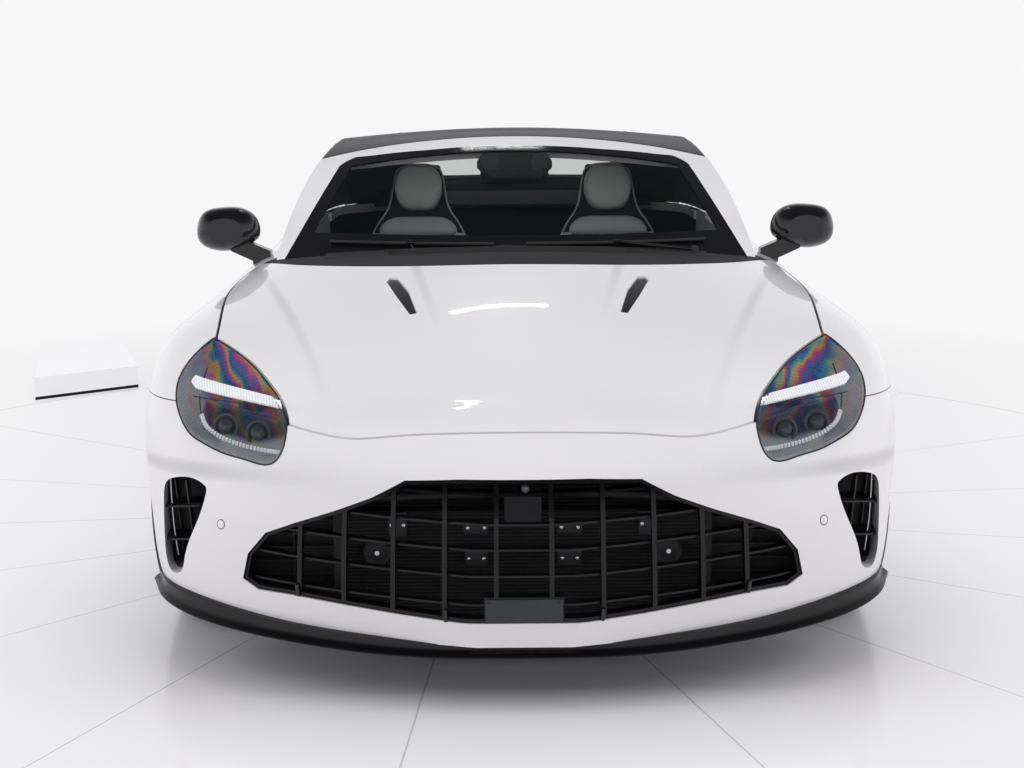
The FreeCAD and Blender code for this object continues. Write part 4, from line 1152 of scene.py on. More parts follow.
# Stage: floor, backdrop, light and camera
@dataclass
class Studio:
    """Pale floor with a turntable's joints, white backdrop, soft lamps and the camera."""

    camera_place: Point = (-0.048, -5.832, 1.445)
    camera_yaw: float = 0.36
    camera_pitch: float = 10.55
    camera_roll: float = -0.32
    lens: float = 57.34
    floor_size: float = 80.0
    floor_colour: Colour = (0.8, 0.785, 0.805)
    shadow_box: Pair = (0.75, 1.95)
    fade: Pair = (0.15, 2.4)
    table_middle: Pair = (-0.12, -0.38)
    table_radius: float = 2.8
    joint_step: float = 20.0
    joint_start: float = 6.0

    def camera(self) -> None:
        """Set the camera at the photograph's viewing place."""
        yaw, pitch, roll = (math.radians(v) for v in (self.camera_yaw, self.camera_pitch, self.camera_roll))
        ahead = Vector((math.sin(yaw) * math.cos(pitch), math.cos(yaw) * math.cos(pitch), -math.sin(pitch)))
        right = Vector((math.cos(yaw), -math.sin(yaw), 0))
        up = right.cross(ahead)
        turned = right * math.cos(roll) + up * math.sin(roll)
        upright = up * math.cos(roll) - right * math.sin(roll)
        data = bpy.data.cameras.new("camera")
        data.lens = self.lens
        data.sensor_width = 36.0
        data.clip_end = 200.0
        camera = put_in("camera", data)
        axes = Matrix((turned, upright, -ahead)).transposed().to_4x4()
        camera.matrix_world = Matrix.Translation(self.camera_place) @ axes
        bpy.context.scene.camera = camera

    def joints(self, shader: Shader) -> Signal:
        """Mask of the turntable's rim and radial joints."""
        x, y, _ = shader.place()
        x = x - self.table_middle[0]
        y = y - self.table_middle[1]
        reach = (x * x + y * y).math("SQRT")
        step = math.radians(self.joint_step)
        turn = (y.math("ARCTAN2", x) / step - self.joint_start / self.joint_step).math("FRACT")
        spoke = turn.least(1 - turn) * reach * step
        inside = reach.below(self.table_radius, 0.01)
        rim = abs(reach - self.table_radius).below(0.004, 0.003)
        return (spoke.below(0.0022, 0.0016) * inside).most(rim)

    def floor(self) -> None:
        """Lay the floor."""
        select_none()
        bpy.ops.mesh.primitive_plane_add(size=self.floor_size, location=(0, 0, 0))
        floor = name_new("floor")
        shader = Shader("studio_floor")
        x, y, _ = shader.place()
        joint = self.joints(shader)
        cloud = shader.noise(0.7, 3.0)
        colour = shader.mix(cloud, toned(self.floor_colour, 0.97), self.floor_colour)
        colour = shader.mix(joint * 0.6, colour, (0.3, 0.3, 0.31))
        lit = shader.raw("BsdfPrincipled", {
            "Base Color": colour, "Roughness": cloud * 0.08 + 0.12,
            "Specular IOR Level": 0.45, "Normal": shader.bump(joint * -1.0, 0.001, 0.3)})
        glow = shader.raw("Emission", {0: shader.mix(joint * 0.35, SKY_WHITE, (0.3, 0.3, 0.3)),
                                                       1: 1.0})
        path = shader.raw("LightPath")
        seen = Signal(shader, path.outputs["Is Camera Ray"])
        wide, long = ((abs(place) - half).most(0.0) for place, half in zip((x, y), self.shadow_box))
        reach = (wide * wide + long * long).math("SQRT")
        share = ((reach - self.fade[0]) / self.fade[1]).clamped().math("POWER", 0.7)
        blend = shader.raw("MixShader", {0: seen * share, 1: lit.outputs[0], 2: glow.outputs[0]})
        shader.raw("OutputMaterial", {"Surface": blend.outputs[0]})
        floor.data.materials.append(shader.material)

    def step(self) -> None:
        """Low white box on a dark foot behind the turntable."""
        plan = ((-2.21, 1.6), (-1.8, 1.91), (-2.03, 2.62), (-2.4, 2.42))
        for name, low, high, colour in (("backdrop_box", 0.014, 0.105, (0.42, 0.42, 0.425)),
                                        ("backdrop_box_foot", 0.0, 0.014, (0.02, 0.02, 0.02))):
            piece = loft(name, [[(x, y, low) for x, y in plan], [(x, y, high) for x, y in plan]])
            shader = Shader(name + "_paint")
            cloud = shader.noise(3.0, 2.0)
            bright = 1.22 if colour[0] > 0.3 else 0.0
            shader.surface(shader.mix(cloud, toned(colour, 0.99), colour), 0.8, Specular_IOR_Level=0.1,
                Emission_Color=colour, Emission_Strength=bright)
            piece.data.materials.append(shader.material)

    def sky(self) -> None:
        """White surroundings for the camera, a plain level of light, and a darker ceiling in reflections."""
        shader = Shader("studio", "worlds")
        bpy.context.scene.world = shader.material
        ray = shader.raw("LightPath").outputs
        up = shader.place_of("Generated")[2]
        stops = [(0.0, (0.95, 0.95, 0.96)), *((position, (level, level, level * 1.01)) for position, level in
                                              ((0.22, 0.8), (0.42, 0.42), (0.6, 0.1))), (0.85, (0.03, 0.03, 0.035))]
        light = shader.node("Background", {0: (0.98, 0.975, 1.0), 1: 0.84})
        glossy = shader.node("Background", {0: shader.ramp(up, stops)})
        seen = shader.node("Background", {0: SKY_WHITE})
        direct = Signal(shader, ray["Is Camera Ray"]).most(Signal(shader, ray["Is Transmission Ray"]))
        first = shader.node("MixShader", {0: ray["Is Glossy Ray"], 1: light, 2: glossy})
        second = shader.node("MixShader", {0: direct, 1: first, 2: seen})
        shader.raw("OutputWorld", {0: second})

    def lamp(self, name: str, place: Point, aim: Point, size: Pair, power: float,
             mirrored: bool = True) -> None:
        """Hang one soft lamp.

        Args:
            name: The lamp's name.
            place: Where it hangs.
            aim: The point that it faces.
            size: Its width and height.
            power: Its power in watts.
            mirrored: Whether glossy surfaces show it.
        """
        data = bpy.data.lights.new(name, "AREA")
        data.shape = "RECTANGLE"
        data.size, data.size_y = size
        data.energy = power
        lamp = put_in(name, data)
        lamp.location = place
        lamp.visible_glossy = mirrored
        lamp.rotation_euler = (Vector(aim) - Vector(place)).to_track_quat("-Z", "Y").to_euler()

    def build(self) -> None:
        """Set the whole stage."""
        bpy.context.scene.view_settings.view_transform = "Standard"
        self.camera()
        self.floor()
        self.step()
        self.sky()
        self.lamp("top_lamp", (0, -0.6, 5.0), (0, -0.5, 0), (4.6, 5.0), 48, False)
        self.lamp("left_lamp", (5.0, -2.5, 2.8), (0, -0.8, 0.5), (1.6, 3.0), 66, False)
        self.lamp("right_lamp", (-5.0, -2.5, 2.8), (0, -0.8, 0.5), (1.6, 3.0), 66, False)
        self.lamp("rear_strip", (-0.1, 3.6, 4.6), (0, -1.2, 0.8), (0.9, 0.01), 3)
        self.lamp("cabin_lamp", (0.0, 0.02, 1.16), (0, 0.7, 0.8), (1.0, 0.06), 1.0, False)


# Finishes of the car
def screen_foot(x: Value) -> Value:
    """Place along the car of the windscreen's foot, at a distance from the car's middle."""
    return x * x * 0.38 - 0.772


def screen_border(shader: Shader) -> Signal:
    """Black border of the windscreen."""
    x, y, _ = shader.place()
    wide = abs(x)
    head = 1 - y.below(wide * wide * 0.09 - 0.165, 0.004)
    edge = 0.5835 - (y + 0.058) * 0.2334
    side = 1 - wide.below(edge - 0.04, 0.004)
    foot = y.below(screen_foot(wide) + 0.07, 0.003)
    return head.most(side).most(foot)


CREASES = (Ridge(0, 1, (0.3, -0.86), (0.15, -1.75), 0.045, 0.016), Ridge(0, 1, (0.655, -1.2), (0.37, -2.15), 0.05,
    0.014))
SHELVES = (Ridge(2, 0, (0.492, 0.78), (0.5, 0.42), 0.045, 0.016), Ridge(2, 0, (0.205, 0.85), (0.19, 0.1),
    0.02, -0.006))
WHITE = CarPaint()
CREASED = CarPaint("white_paint_bonnet", ridges=CREASES)
BUMPER_SEAMS = ((2, 0.66, (-1.1, -2.3, 0.65), (1.1, -1.39, 0.67)),)
TOP = WovenTop()
TOP_PIPING = GrainedPlastic("top_piping", (0.012, 0.012, 0.013), 0.7, 1400.0)
BLACK_GLOSS = GlossPlastic()
LIP_BLACK = GlossPlastic("lip_black", (0.002, 0.002, 0.0025), 0.12, 0.0)
BLACK_GRAIN = GrainedPlastic()
SOFT_BLACK = Hide("dark_leather", (0.018, 0.018, 0.02))
GREY_HIDE = Hide("light_grey_leather", (0.53, 0.565, 0.55))
CLEAR = Pane("lamp_glass", (0.02, 0.022, 0.024), 0.1)
TINTED = Pane("side_glass", (0.006, 0.011, 0.01), 0.5)
SCREEN = Pane("windscreen_glass", (0.004, 0.009, 0.008), 0.16, screen_border)
CAST = WornMetal()
LIGHT_ALLOY = WornMetal("light_alloy", (0.6, 0.61, 0.63), 1.0, 0.28, 500.0)
POLISHED = WornMetal("polished_steel", (0.66, 0.66, 0.68), 1.0, 0.12, 300.0)
LIT_GUIDE = Glow(power=0.42)
CRYSTAL = Glow("crystal_blocks", (0.72, 0.74, 0.76), 0.3, 1600.0)
RED_GUIDE = Glow("red_lamp_cover", (0.32, 0.006, 0.01), 0.05, 1400.0)
LAMP_BLACK = GlossPlastic("lamp_black", (0.01, 0.011, 0.014), 0.14)
LAMP_GREY = GlossPlastic("lamp_grey", (0.055, 0.058, 0.064), 0.22)
# Dark finish of the lamp carrier, with its painted reflection bands muted.
SMOKED = Prism("smoked_facets", 0.62)
LENS_DOME = GlossPlastic("projector_glass", (0.035, 0.042, 0.055), 0.03, 1.0)
COVER_GREY = GlossPlastic("cover_grey", (0.02, 0.022, 0.026), 0.28, 0.2)
BRACKET = WornMetal("bracket_metal", (0.055, 0.056, 0.06), 0.6, 0.45, 300.0)
ENGINE_PAINT = WornMetal("engine_cover_paint", (0.3, 0.05, 0.04), 0.4, 0.45, 420.0)
ENGINE_BLACK = GrainedPlastic("engine_plastic", (0.022, 0.022, 0.024), 0.5, 500.0)
BOTTLE = GrainedPlastic("bottle_plastic", (0.55, 0.55, 0.5), 0.4, 260.0)
SPEAKER_MESH = GrainedPlastic("speaker_mesh", (0.03, 0.03, 0.032), 0.5, 420.0, 0.0012)
MIRROR_GLASS = WornMetal("mirror_glass", (0.8, 0.82, 0.84), 1.0, 0.03, 60.0)
TREAD_BLACK = GrainedPlastic("wiper_rubber", (0.01, 0.01, 0.01), 0.6)


class CadDress:
    """Finishes of the carried-over CAD nodes."""

    plain: tuple[tuple[Finish, str], ...] = (
        (CarPaint("white_paint_bumper", seams=BUMPER_SEAMS, ridges=SHELVES), "front_bumper"),
        (WHITE, "front_fender_left front_fender_right door_left door_right side_skirts quarter_panel_left "
                "quarter_panel_right rear_deck boot_lid rear_bumper windscreen_frame"),
        (CREASED, "bonnet"),
        (BLACK_GLOSS, "bonnet_vents rear_diffuser mirror_left mirror_right"),
        (BLACK_GRAIN, "cowl seat_frames wheel_liners"),
        (LIP_BLACK, "front_splitter"),
        (GlossPlastic("grille_black", (0.0025, 0.0025, 0.003), 0.3, 0.0), "front_grille"),
        (Core(), "radiator_pack"),
        (Prism(), "headlight_housings"),
        (CLEAR, "headlight_lenses"),
        (LIT_GUIDE, "headlight_bars"),
        (SCREEN, "windscreen_glass"),
        (TINTED, "door_glass_left door_glass_right"),
        (Pane("rear_glass", (0.02, 0.05, 0.04), 0.06), "rear_window"),
        (TOP, "soft_top"),
        (Carpet(), "floor_pan centre_tunnel rear_frame"),
        (GrainedPlastic("sealed_metal", (0.03, 0.03, 0.032), 0.6, 300.0), "front_frame"),
        (CAST, "front_knuckle_left front_knuckle_right front_suspension rear_suspension engine_block"),
        (SOFT_BLACK, "dashboard centre_console steering_wheel"),
        (GREY_HIDE, "seat_left seat_right"),
        (RED_GUIDE, "tail_lights"),
        (POLISHED, "exhaust_tips"),
    )

    def build(self) -> None:
        """Give every CAD node its finish."""
        for finish, nodes in self.plain:
            for node in nodes.split():
                coat(node, finish)
        for end, y in AXLES:
            for side in Side:
                coat(f"{end}_tyre_{side}", Rubber(f"tyre_rubber_{end}", centre=(y, AXLE_HEIGHT)))
                coat(f"{end}_wheel_{side}", TurnedMetal(f"turned_metal_{end}", centre=(y, AXLE_HEIGHT)))


# Nose: lamps, grille parts, sensors, ducts and wipers
@dataclass
class Headlight:
    """Inner parts of the left headlight, mirrored to the right."""

    projectors: tuple[tuple[float, float, float], ...] = ((0.739, 0.625, 0.029), (0.652, 0.618, 0.029))
    sink: float = 0.03
    middle: Pair = (0.722, 0.668)
    slots: Fitter = field(default_factory=lambda: Fitter("headlight_lenses"))

    def projector(self, index: int, x: float, z: float, radius: float) -> list[Piece]:
        """One lamp unit: bezel, reflector cup and lens dome."""
        middle = self.slots.front(x, z, self.sink)
        aim = Vector((0.12, -1.0, 0.18)).normalized()
        bezel = rounded(torus(f"bezel_{index}", radius, 0.0045, middle, aim), 0.001)
        collar = rod(f"collar_{index}", radius * 0.98, 0.03, middle - aim * 0.018, aim, 32, radius * 0.8)
        dome = ball(f"dome_{index}", radius * 0.72, middle - aim * 0.004)
        rings = [torus(f"step_{index}_{step}", radius * (0.92 - 0.12 * step), 0.0014, middle - aim * 0.002, aim)
                 for step in range(2)]
        dress(bezel, LAMP_GREY)
        dress(collar, LAMP_BLACK)
        dress(dome, LENS_DOME)
        for ring in rings:
            dress(ring, LAMP_GREY)
        return [bezel, collar, dome, *rings]

    def carrier(self) -> Piece:
        """Dark stepped plate that holds both lamp units."""
        piece = draped("headlight_carrier_left",
                             ((0.594, 0.59), (0.66, 0.574), (0.735, 0.582), (0.785, 0.61), (0.812, 0.655), (0.8, 0.69),
                              (0.594, 0.652)),
                             (0, 2), lambda x, z: self.slots.front(x, z, self.sink + 0.012), 0.006)
        return dress(piece, SMOKED)

    def guides(self) -> list[Piece]:
        """Daytime light bar and the crystal blocks along the lamp's lower edge."""
        bar = draped("headlight_bar_left", ((0.592, 0.675), (0.7, 0.697), (0.828, 0.722), (0.838, 0.708),
            (0.822, 0.696), (0.592, 0.658)), (0, 2), lambda x, z: self.slots.front(x, z, 0.012), 0.005, 40)
        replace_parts(dress(bar, LIT_GUIDE), "headlight_bars")
        line = smooth_run(((0.8, 0, 0.64), (0.782, 0, 0.614), (0.74, 0, 0.594), (0.686, 0, 0.582), (0.63, 0, 0.577),
                            (0.586, 0, 0.576)), 6)
        blocks = []
        for index, (place, after) in enumerate(zip(line, line[1:])):
            middle = (place + after) / 2
            seat = self.slots.front(middle.x, middle.z, 0.012)
            block = box(f"crystal_{index}", (-0.003, -0.004, -0.005), (0.003, 0.004, 0.005))
            rounded(block, 0.001, 1)
            turn = math.atan2(after.z - place.z, place.x - after.x)
            block.data.transform(Matrix.Translation(seat) @ Matrix.Rotation(turn * 0.9, 4, "Y"))
            blocks.append(block)
        chain = joined("headlight_crystals_left", blocks)
        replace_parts(dress(chain, CRYSTAL), "headlight_bars")
        return [bar, chain]

    def gasket(self) -> Piece:
        """Thin dark seal around the lamp glass."""
        places = []
        for step in range(72):
            turn = 2 * math.pi * step / 72
            across, up = math.cos(turn), math.sin(turn)
            low, high = 0.02, 0.24
            for _ in range(11):
                reach = (low + high) / 2
                met = self.slots.hit((self.middle[0] + across * reach, AHEAD, self.middle[1] + up * reach), (0, 1, 0))
                low, high = (reach, high) if met and met[0].y < -1.45 else (low, reach)
            place = self.slots.front(self.middle[0] + across * low * 0.994, self.middle[1] + up * low * 0.994, -0.0002)
            places.append(place)
        places.append(places[0])
        return dress(tube("headlight_gasket_left", places, 0.002, 8, False), BLACK_GRAIN)

    def blade(self, name: str, points: Sequence[Pair], depth: float, radius: float,
              finish: Finish) -> Piece:
        """Slim rod that follows the lamp glass."""
        line = [self.slots.front(x, z, depth) for x, z in points]
        return dress(tube(name, line, radius, 12), finish)

    def build(self) -> None:
        """Build both headlights' parts."""
        made = [self.carrier(), *self.guides(), self.gasket()]
        for index, (x, z, radius) in enumerate(self.projectors):
            parts = self.projector(index, x, z, radius)
            for part in parts:
                part.name = f"headlight_{part.name}_left"
            made += parts
        made.append(self.blade("headlight_fin_left", ((0.804, 0.745), (0.815, 0.7), (0.812, 0.66), (0.795, 0.61)),
                               0.022, 0.0022, POLISHED))
        made.append(self.blade("headlight_step_left", ((0.6, 0.664), (0.68, 0.672), (0.76, 0.676), (0.83, 0.682)),
                               0.02, 0.0018, LAMP_GREY))
        for piece in made:
            mirrored = mirror_image(piece, piece.name.replace("left", "right"))
            if "bar" in piece.name or "crystals" in piece.name:
                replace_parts(mirrored, "headlight_bars")


@dataclass
class GrilleParts:
    """Parts on and behind the grille."""

    cover_low: Point = (-0.0895, -2.248, 0.204)
    cover_high: Point = (0.0895, -2.24, 0.274)
    foot_places: tuple[Pair, ...] = ((0.181, 0.232), (0.297, 0.238), (0.417, 0.246), (0.534, 0.262))

    def cover(self) -> None:
        """Flat sensor cover with a raised frame and corner screws."""
        low, high = self.cover_low, self.cover_high
        piece = box("sensor_cover", (low[0], low[1] + 0.003, low[2]), high)
        rounded(piece, 0.004, 4)
        inset(piece, facing(1, -1), 0.004, -0.0012)
        dress(shaded(piece), COVER_GREY)
        for index, (x, z) in enumerate(((-0.081, 0.212), (0.081, 0.212), (-0.081, 0.266), (0.081, 0.266))):
            dress(rounded(rod(f"cover_screw_{index}", 0.003, 0.003, (x, low[1] + 0.003, z), (0, 1, 0), 16),
                0.0006, 2), BLACK_GLOSS)

    def bracket(self, name: str, x: float, z: float, y: float, wide: float, tall: float) -> None:
        """Folded plate with two bolts in front of the cooling pack."""
        plate = box(name, (x - wide / 2, y, z - tall / 2), (x + wide / 2, y + 0.003, z + tall / 2))
        inset(plate, facing(1, -1), 0.003, 0.001)
        dress(rounded(plate, 0.0008, 2), BRACKET)
        for index, side in enumerate((-1, 1)):
            dress(rounded(rod(f"{name}_bolt_{index}", 0.0052, 0.006, (x + side * wide * 0.32, y - 0.003,
                z), (0, 1, 0), 6), 0.0008, 2), POLISHED)

    def horn(self, name: str, x: float, z: float, y: float, radius: float) -> None:
        """Round pressed horn with a centre bolt and rings."""
        disc = rod(name, radius, 0.018, (x, y, z), (0, 1, 0), 40, radius * 0.86)
        for width, depth in ((radius * 0.22, -0.004), (radius * 0.25, 0.003)):
            inset(disc, lambda place, normal: facing(1)(place, normal) and place.y < y, width, depth)
        dress(rounded(disc, 0.0012, 2), BRACKET)
        dress(rod(name + "_nut", 0.006, 0.01, (x, y - 0.012, z), (0, 1, 0), 6), POLISHED)

    def guide(self, side: Side) -> None:
        """Slatted air guide between the cooling pack and the bumper's corner."""
        sign = side.sign
        frame = box(f"air_guide_{side}", (0.436, -1.925, 0.185), (0.69, -1.915, 0.505))
        parts = [frame]
        for index in range(9):
            z = 0.205 + index * 0.034
            slat = box(f"slat_{index}", (0.44, -1.958, z), (0.686, -1.925, z + 0.005))
            shifted(slat, lambda place, normal: place.y < -1.94, (0, 0, 0.01))
            parts.append(slat)
        parts.append(box("guide_rib", (0.56, -1.95, 0.19), (0.566, -1.925, 0.5)))
        piece = joined(f"air_guide_{side}", parts)
        if sign < 0:
            piece.data.transform(MIRROR)
            outward(piece)
        dress(piece, BLACK_GRAIN)

    def feet(self) -> None:
        """Rounded feet of the upright bars over the lower rim."""
        rim = Fitter("front_grille", "front_bumper")
        for index, (x, z) in enumerate(self.foot_places):
            for side in Side:
                place = rim.front(x * side.sign, z, -0.004)
                dress(rounded(rod(f"grille_foot_{index}_{side}", 0.0055, 0.03, place, (0.1 * side.sign, 0,
                    1), 16, 0.0045), 0.002), BLACK_GLOSS)

    def build(self) -> None:
        """Build all the parts."""
        self.cover()
        self.feet()
        for name, x, z, wide, tall in (("bracket_upper", 0.112, 0.392, 0.062, 0.034), ("bracket_lower", 0.112, 0.315,
                0.056, 0.036), ("bracket_outer", 0.3, 0.4, 0.046, 0.06)):
            for side in Side:
                self.bracket(f"{name}_{side}", x * side.sign, z, -2.052, wide, tall)
        for side in Side:
            self.horn(f"horn_{side}", 0.352 * side.sign, 0.325, -2.02, 0.034)
            self.guide(side)
        beam = box("latch_bracket", (-0.045, -2.062, 0.4), (0.045, -2.05, 0.47))
        inset(beam, facing(1, -1), 0.01, -0.004)
        dress(rounded(beam, 0.002, 2), BRACKET)
        hose = tube("coolant_hose", ((-0.4, -2.062, 0.47), (-0.3, -2.072, 0.475), (0.05, -2.066, 0.485),
                                           (0.25, -2.07, 0.478), (0.4, -2.06, 0.465)), 0.01, 12)
        dress(hose, BLACK_GRAIN)


@dataclass
class NoseSensors:
    """Parking sensors and the front camera."""

    places: tuple[Pair, ...] = ((0.728, 0.396), (-0.728, 0.396))
    skin: Fitter = field(default_factory=lambda: Fitter("front_bumper"))

    def build(self) -> None:
        """Build the sensors."""
        for index, (x, z) in enumerate(self.places):
            found = self.skin.hit((x, AHEAD, z), (0, 1, 0))
            if found is None:
                continue
            place, normal = found
            dress(torus(f"sensor_ring_{index}", 0.0115, 0.0008, place + normal * 0.0002, normal), BLACK_GRAIN)
            dress(rounded(rod(f"sensor_disc_{index}", 0.0105, 0.002, place, normal, 32), 0.0005, 2), WHITE)
        dress(rounded(rod("nose_camera", 0.012, 0.02, (0.004, -2.2, 0.524), (0, -1, 0.2), 32, 0.0095),
            0.0012, 2), BLACK_GLOSS)
        dress(ball("nose_camera_lens", 0.0062, (0.004, -2.2095, 0.526), (1, 0.5, 1)), LENS_DOME)


@dataclass
class Ducts:
    """Upright fins in the bumper's side ducts."""

    def build(self) -> None:
        """Build the fins of both sides."""
        for side in Side:
            for index, (x, y, low, high) in enumerate(((0.872, -1.842, 0.262, 0.468), (0.838, -1.872, 0.3, 0.47))):
                fin = box(f"duct_fin_{index}_{side}", (x - 0.003, y, low), (x + 0.003, y + 0.04, high))
                shifted(fin, lambda place, normal: place.z < low + 0.01, (-0.012 + index * 0.002, 0.02, 0))
                rounded(fin, 0.0022)
                dress(shaded(sided(fin, side)), BLACK_GLOSS)
            for index, z in enumerate((0.325, 0.41)):
                step = box(f"duct_step_{index}_{side}", (0.806, -1.868, z), (0.9, -1.825, z + 0.006))
                shifted(step, lambda place, normal: place.y < -1.86, (0, 0, -0.012))
                dress(sided(rounded(step, 0.0015, 2), side), BLACK_GLOSS)
            line = [(0.88, -1.85, 0.47), (0.878, -1.856, 0.4), (0.874, -1.856, 0.33), (0.868, -1.85, 0.27)]
            dress(tube(f"duct_strip_{side}", side.points(*line), 0.003, 10), POLISHED)


@dataclass
class Blade:
    """Smooth lip under the bumper with a thin leading edge and upswept ends."""

    edge: tuple[Point, ...] = ((0.0, -2.2465, 0.128), (0.2, -2.238, 0.128), (0.37, -2.204, 0.13), (0.55, -2.146,
        0.138), (0.7, -2.076, 0.147), (0.82, -1.995, 0.158), (0.9, -1.905, 0.172), (0.943, -1.8, 0.19))
    rise: tuple[float, ...] = (0.031, 0.032, 0.034, 0.036, 0.042, 0.045, 0.038, 0.022)

    def build(self) -> None:
        """Build the lip."""
        steps = 6
        line = smooth_run(self.edge, steps)
        tall = [v.x for v in smooth_run([(rise, 0, index) for index, rise in enumerate(self.rise)], steps)]
        rows = []
        for index, place in enumerate(line):
            along = line[min(index + 1, len(line) - 1)] - line[max(index - 1, 0)]
            out = Vector((along.y, -along.x, 0)).normalized()
            if out.y > 0:
                out = -out
            if index == 0:
                out = Vector((0, -1, 0))
            up = Vector((0, 0, 1))
            high = tall[index]
            shape = ((0, 0.003), (-0.001, 0.007), (-0.01, 0.014), (-0.014, high * 0.7), (-0.016, high),
                (-0.03, high + 0.004), (-0.13, high), (-0.13, 0.006), (-0.006, 0.0))
            rows.append([tuple(place + out * forward + up * rise) for forward, rise in shape])
        mirrored = [[(-x, y, z) for x, y, z in row] for row in reversed(rows[1:])]
        piece = loft("splitter_blade", mirrored + rows)
        dress(shaded(piece, 40.0), LIP_BLACK)
        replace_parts(piece, "front_splitter")


@dataclass
class Wipers:
    """Two parked wipers at the foot of the windscreen."""

    lift: float = 0.01
    skin: Fitter = field(default_factory=lambda: Fitter("windscreen_glass", "cowl", "windscreen_frame"))

    def foot(self, x: float, ahead: float, lift: float) -> Vector:
        """Place just over the windscreen's foot."""
        return self.skin.top(x, screen_foot(x) + ahead, -lift)

    def wiper(self, name: str, pivot: float, start: float, end: float) -> None:
        """One wiper: pivot cap, arm, blade and rubber."""
        steps = [start + (end - start) * share / 10 for share in range(11)]
        dress(tube(f"{name}_rubber", [self.foot(x, 0.01, 0.004) for x in steps], 0.0026, 8), TREAD_BLACK)
        dress(tube(f"{name}_blade", [self.foot(x, 0.004, self.lift) for x in steps], 0.0052, 8), BLACK_GRAIN)
        root = self.foot(pivot, -0.05, 0.01)
        middle = self.foot((pivot + start + end) / 3, -0.025, 0.016)
        grip = self.foot((start + end) / 2, 0.002, 0.015)
        dress(tube(f"{name}_arm", (root, middle, grip), 0.005, 8), BLACK_GLOSS)
        dress(rounded(rod(f"{name}_cap", 0.015, 0.016, root, (0, -0.2, 1), 24, 0.011), 0.002), BLACK_GRAIN)
        dress(ball(f"{name}_clip", 0.01, grip, (1.8, 0.8, 0.6)), BLACK_GLOSS)

    def build(self) -> None:
        """Build both wipers."""
        self.wiper("wiper_left", 0.56, 0.03, 0.6)
        self.wiper("wiper_right", -0.11, -0.59, -0.07)


@dataclass
class ScreenFoot:
    """Black seal between the windscreen's lower edge and the cowl."""

    half: float = 0.6
    steps: int = 24

    def build(self) -> None:
        """Build the seal."""
        glass = Fitter("windscreen_glass")
        floor = Fitter("cowl", "bonnet")
        rows = []
        for step in range(self.steps + 1):
            x = self.half * (2 * step / self.steps - 1)
            y = -0.84
            met = glass.hit((x, y, ABOVE), (0, 0, -1))
            while met is None and y < -0.5:
                y += 0.002
                met = glass.hit((x, y, ABOVE), (0, 0, -1))
            if met is None:
                continue
            edge = met[0]
            ahead = floor.top(x, edge.y - 0.055)
            level = min(ahead.z, edge.z) + 0.001
            rows.append([(x, edge.y + 0.006, edge.z + 0.0045), (x, edge.y - 0.003, edge.z + 0.0035),
                (x, edge.y - 0.055, level), (x, edge.y - 0.055, level - 0.006), (x, edge.y + 0.01, edge.z - 0.016)])
        dress(shaded(loft("windscreen_seal", rows), 35.0), BLACK_GRAIN)


@dataclass
class ScreenCorners:
    """Rounded inner corners of the white screen surround, over the glass's upper corners."""

    corner: Pair = (0.597, -0.054)
    head: Pair = (-0.095, -0.0102)
    side: Pair = (0.0195, -0.085)
    lip: float = 0.004
    lift: float = 0.0014
    steps: int = 16

    def build(self) -> None:
        """Build both corners."""
        skin = Fitter("windscreen_glass", "windscreen_frame")
        for side in Side:
            rows = []
            for step in range(self.steps + 1):
                share = step / self.steps
                turn = share * math.pi / 2
                inner = [c + h * (1 - math.sin(turn)) + s * (1 - math.cos(turn))
                         for c, h, s in zip(self.corner, self.head, self.side)]
                outer = [c + h * max(0.0, 1 - 2 * share) + s * max(0.0, 2 * share - 1) + self.lip * away
                         for c, h, s, away in zip(self.corner, self.head, self.side, (0.7, 0.7))]
                places = [skin.top(*outer), skin.top(*inner)]
                rise = Vector((0, -0.35, 0.94))
                ring = [places[0] + rise * self.lift, places[1] + rise * self.lift, places[1] - rise * self.lift,
                        places[0] - rise * self.lift]
                rows.append([(place.x * side.sign, place.y, place.z) for place in ring])
            dress(shaded(loft(f"screen_corner_{side}", rows), 35.0), WHITE)


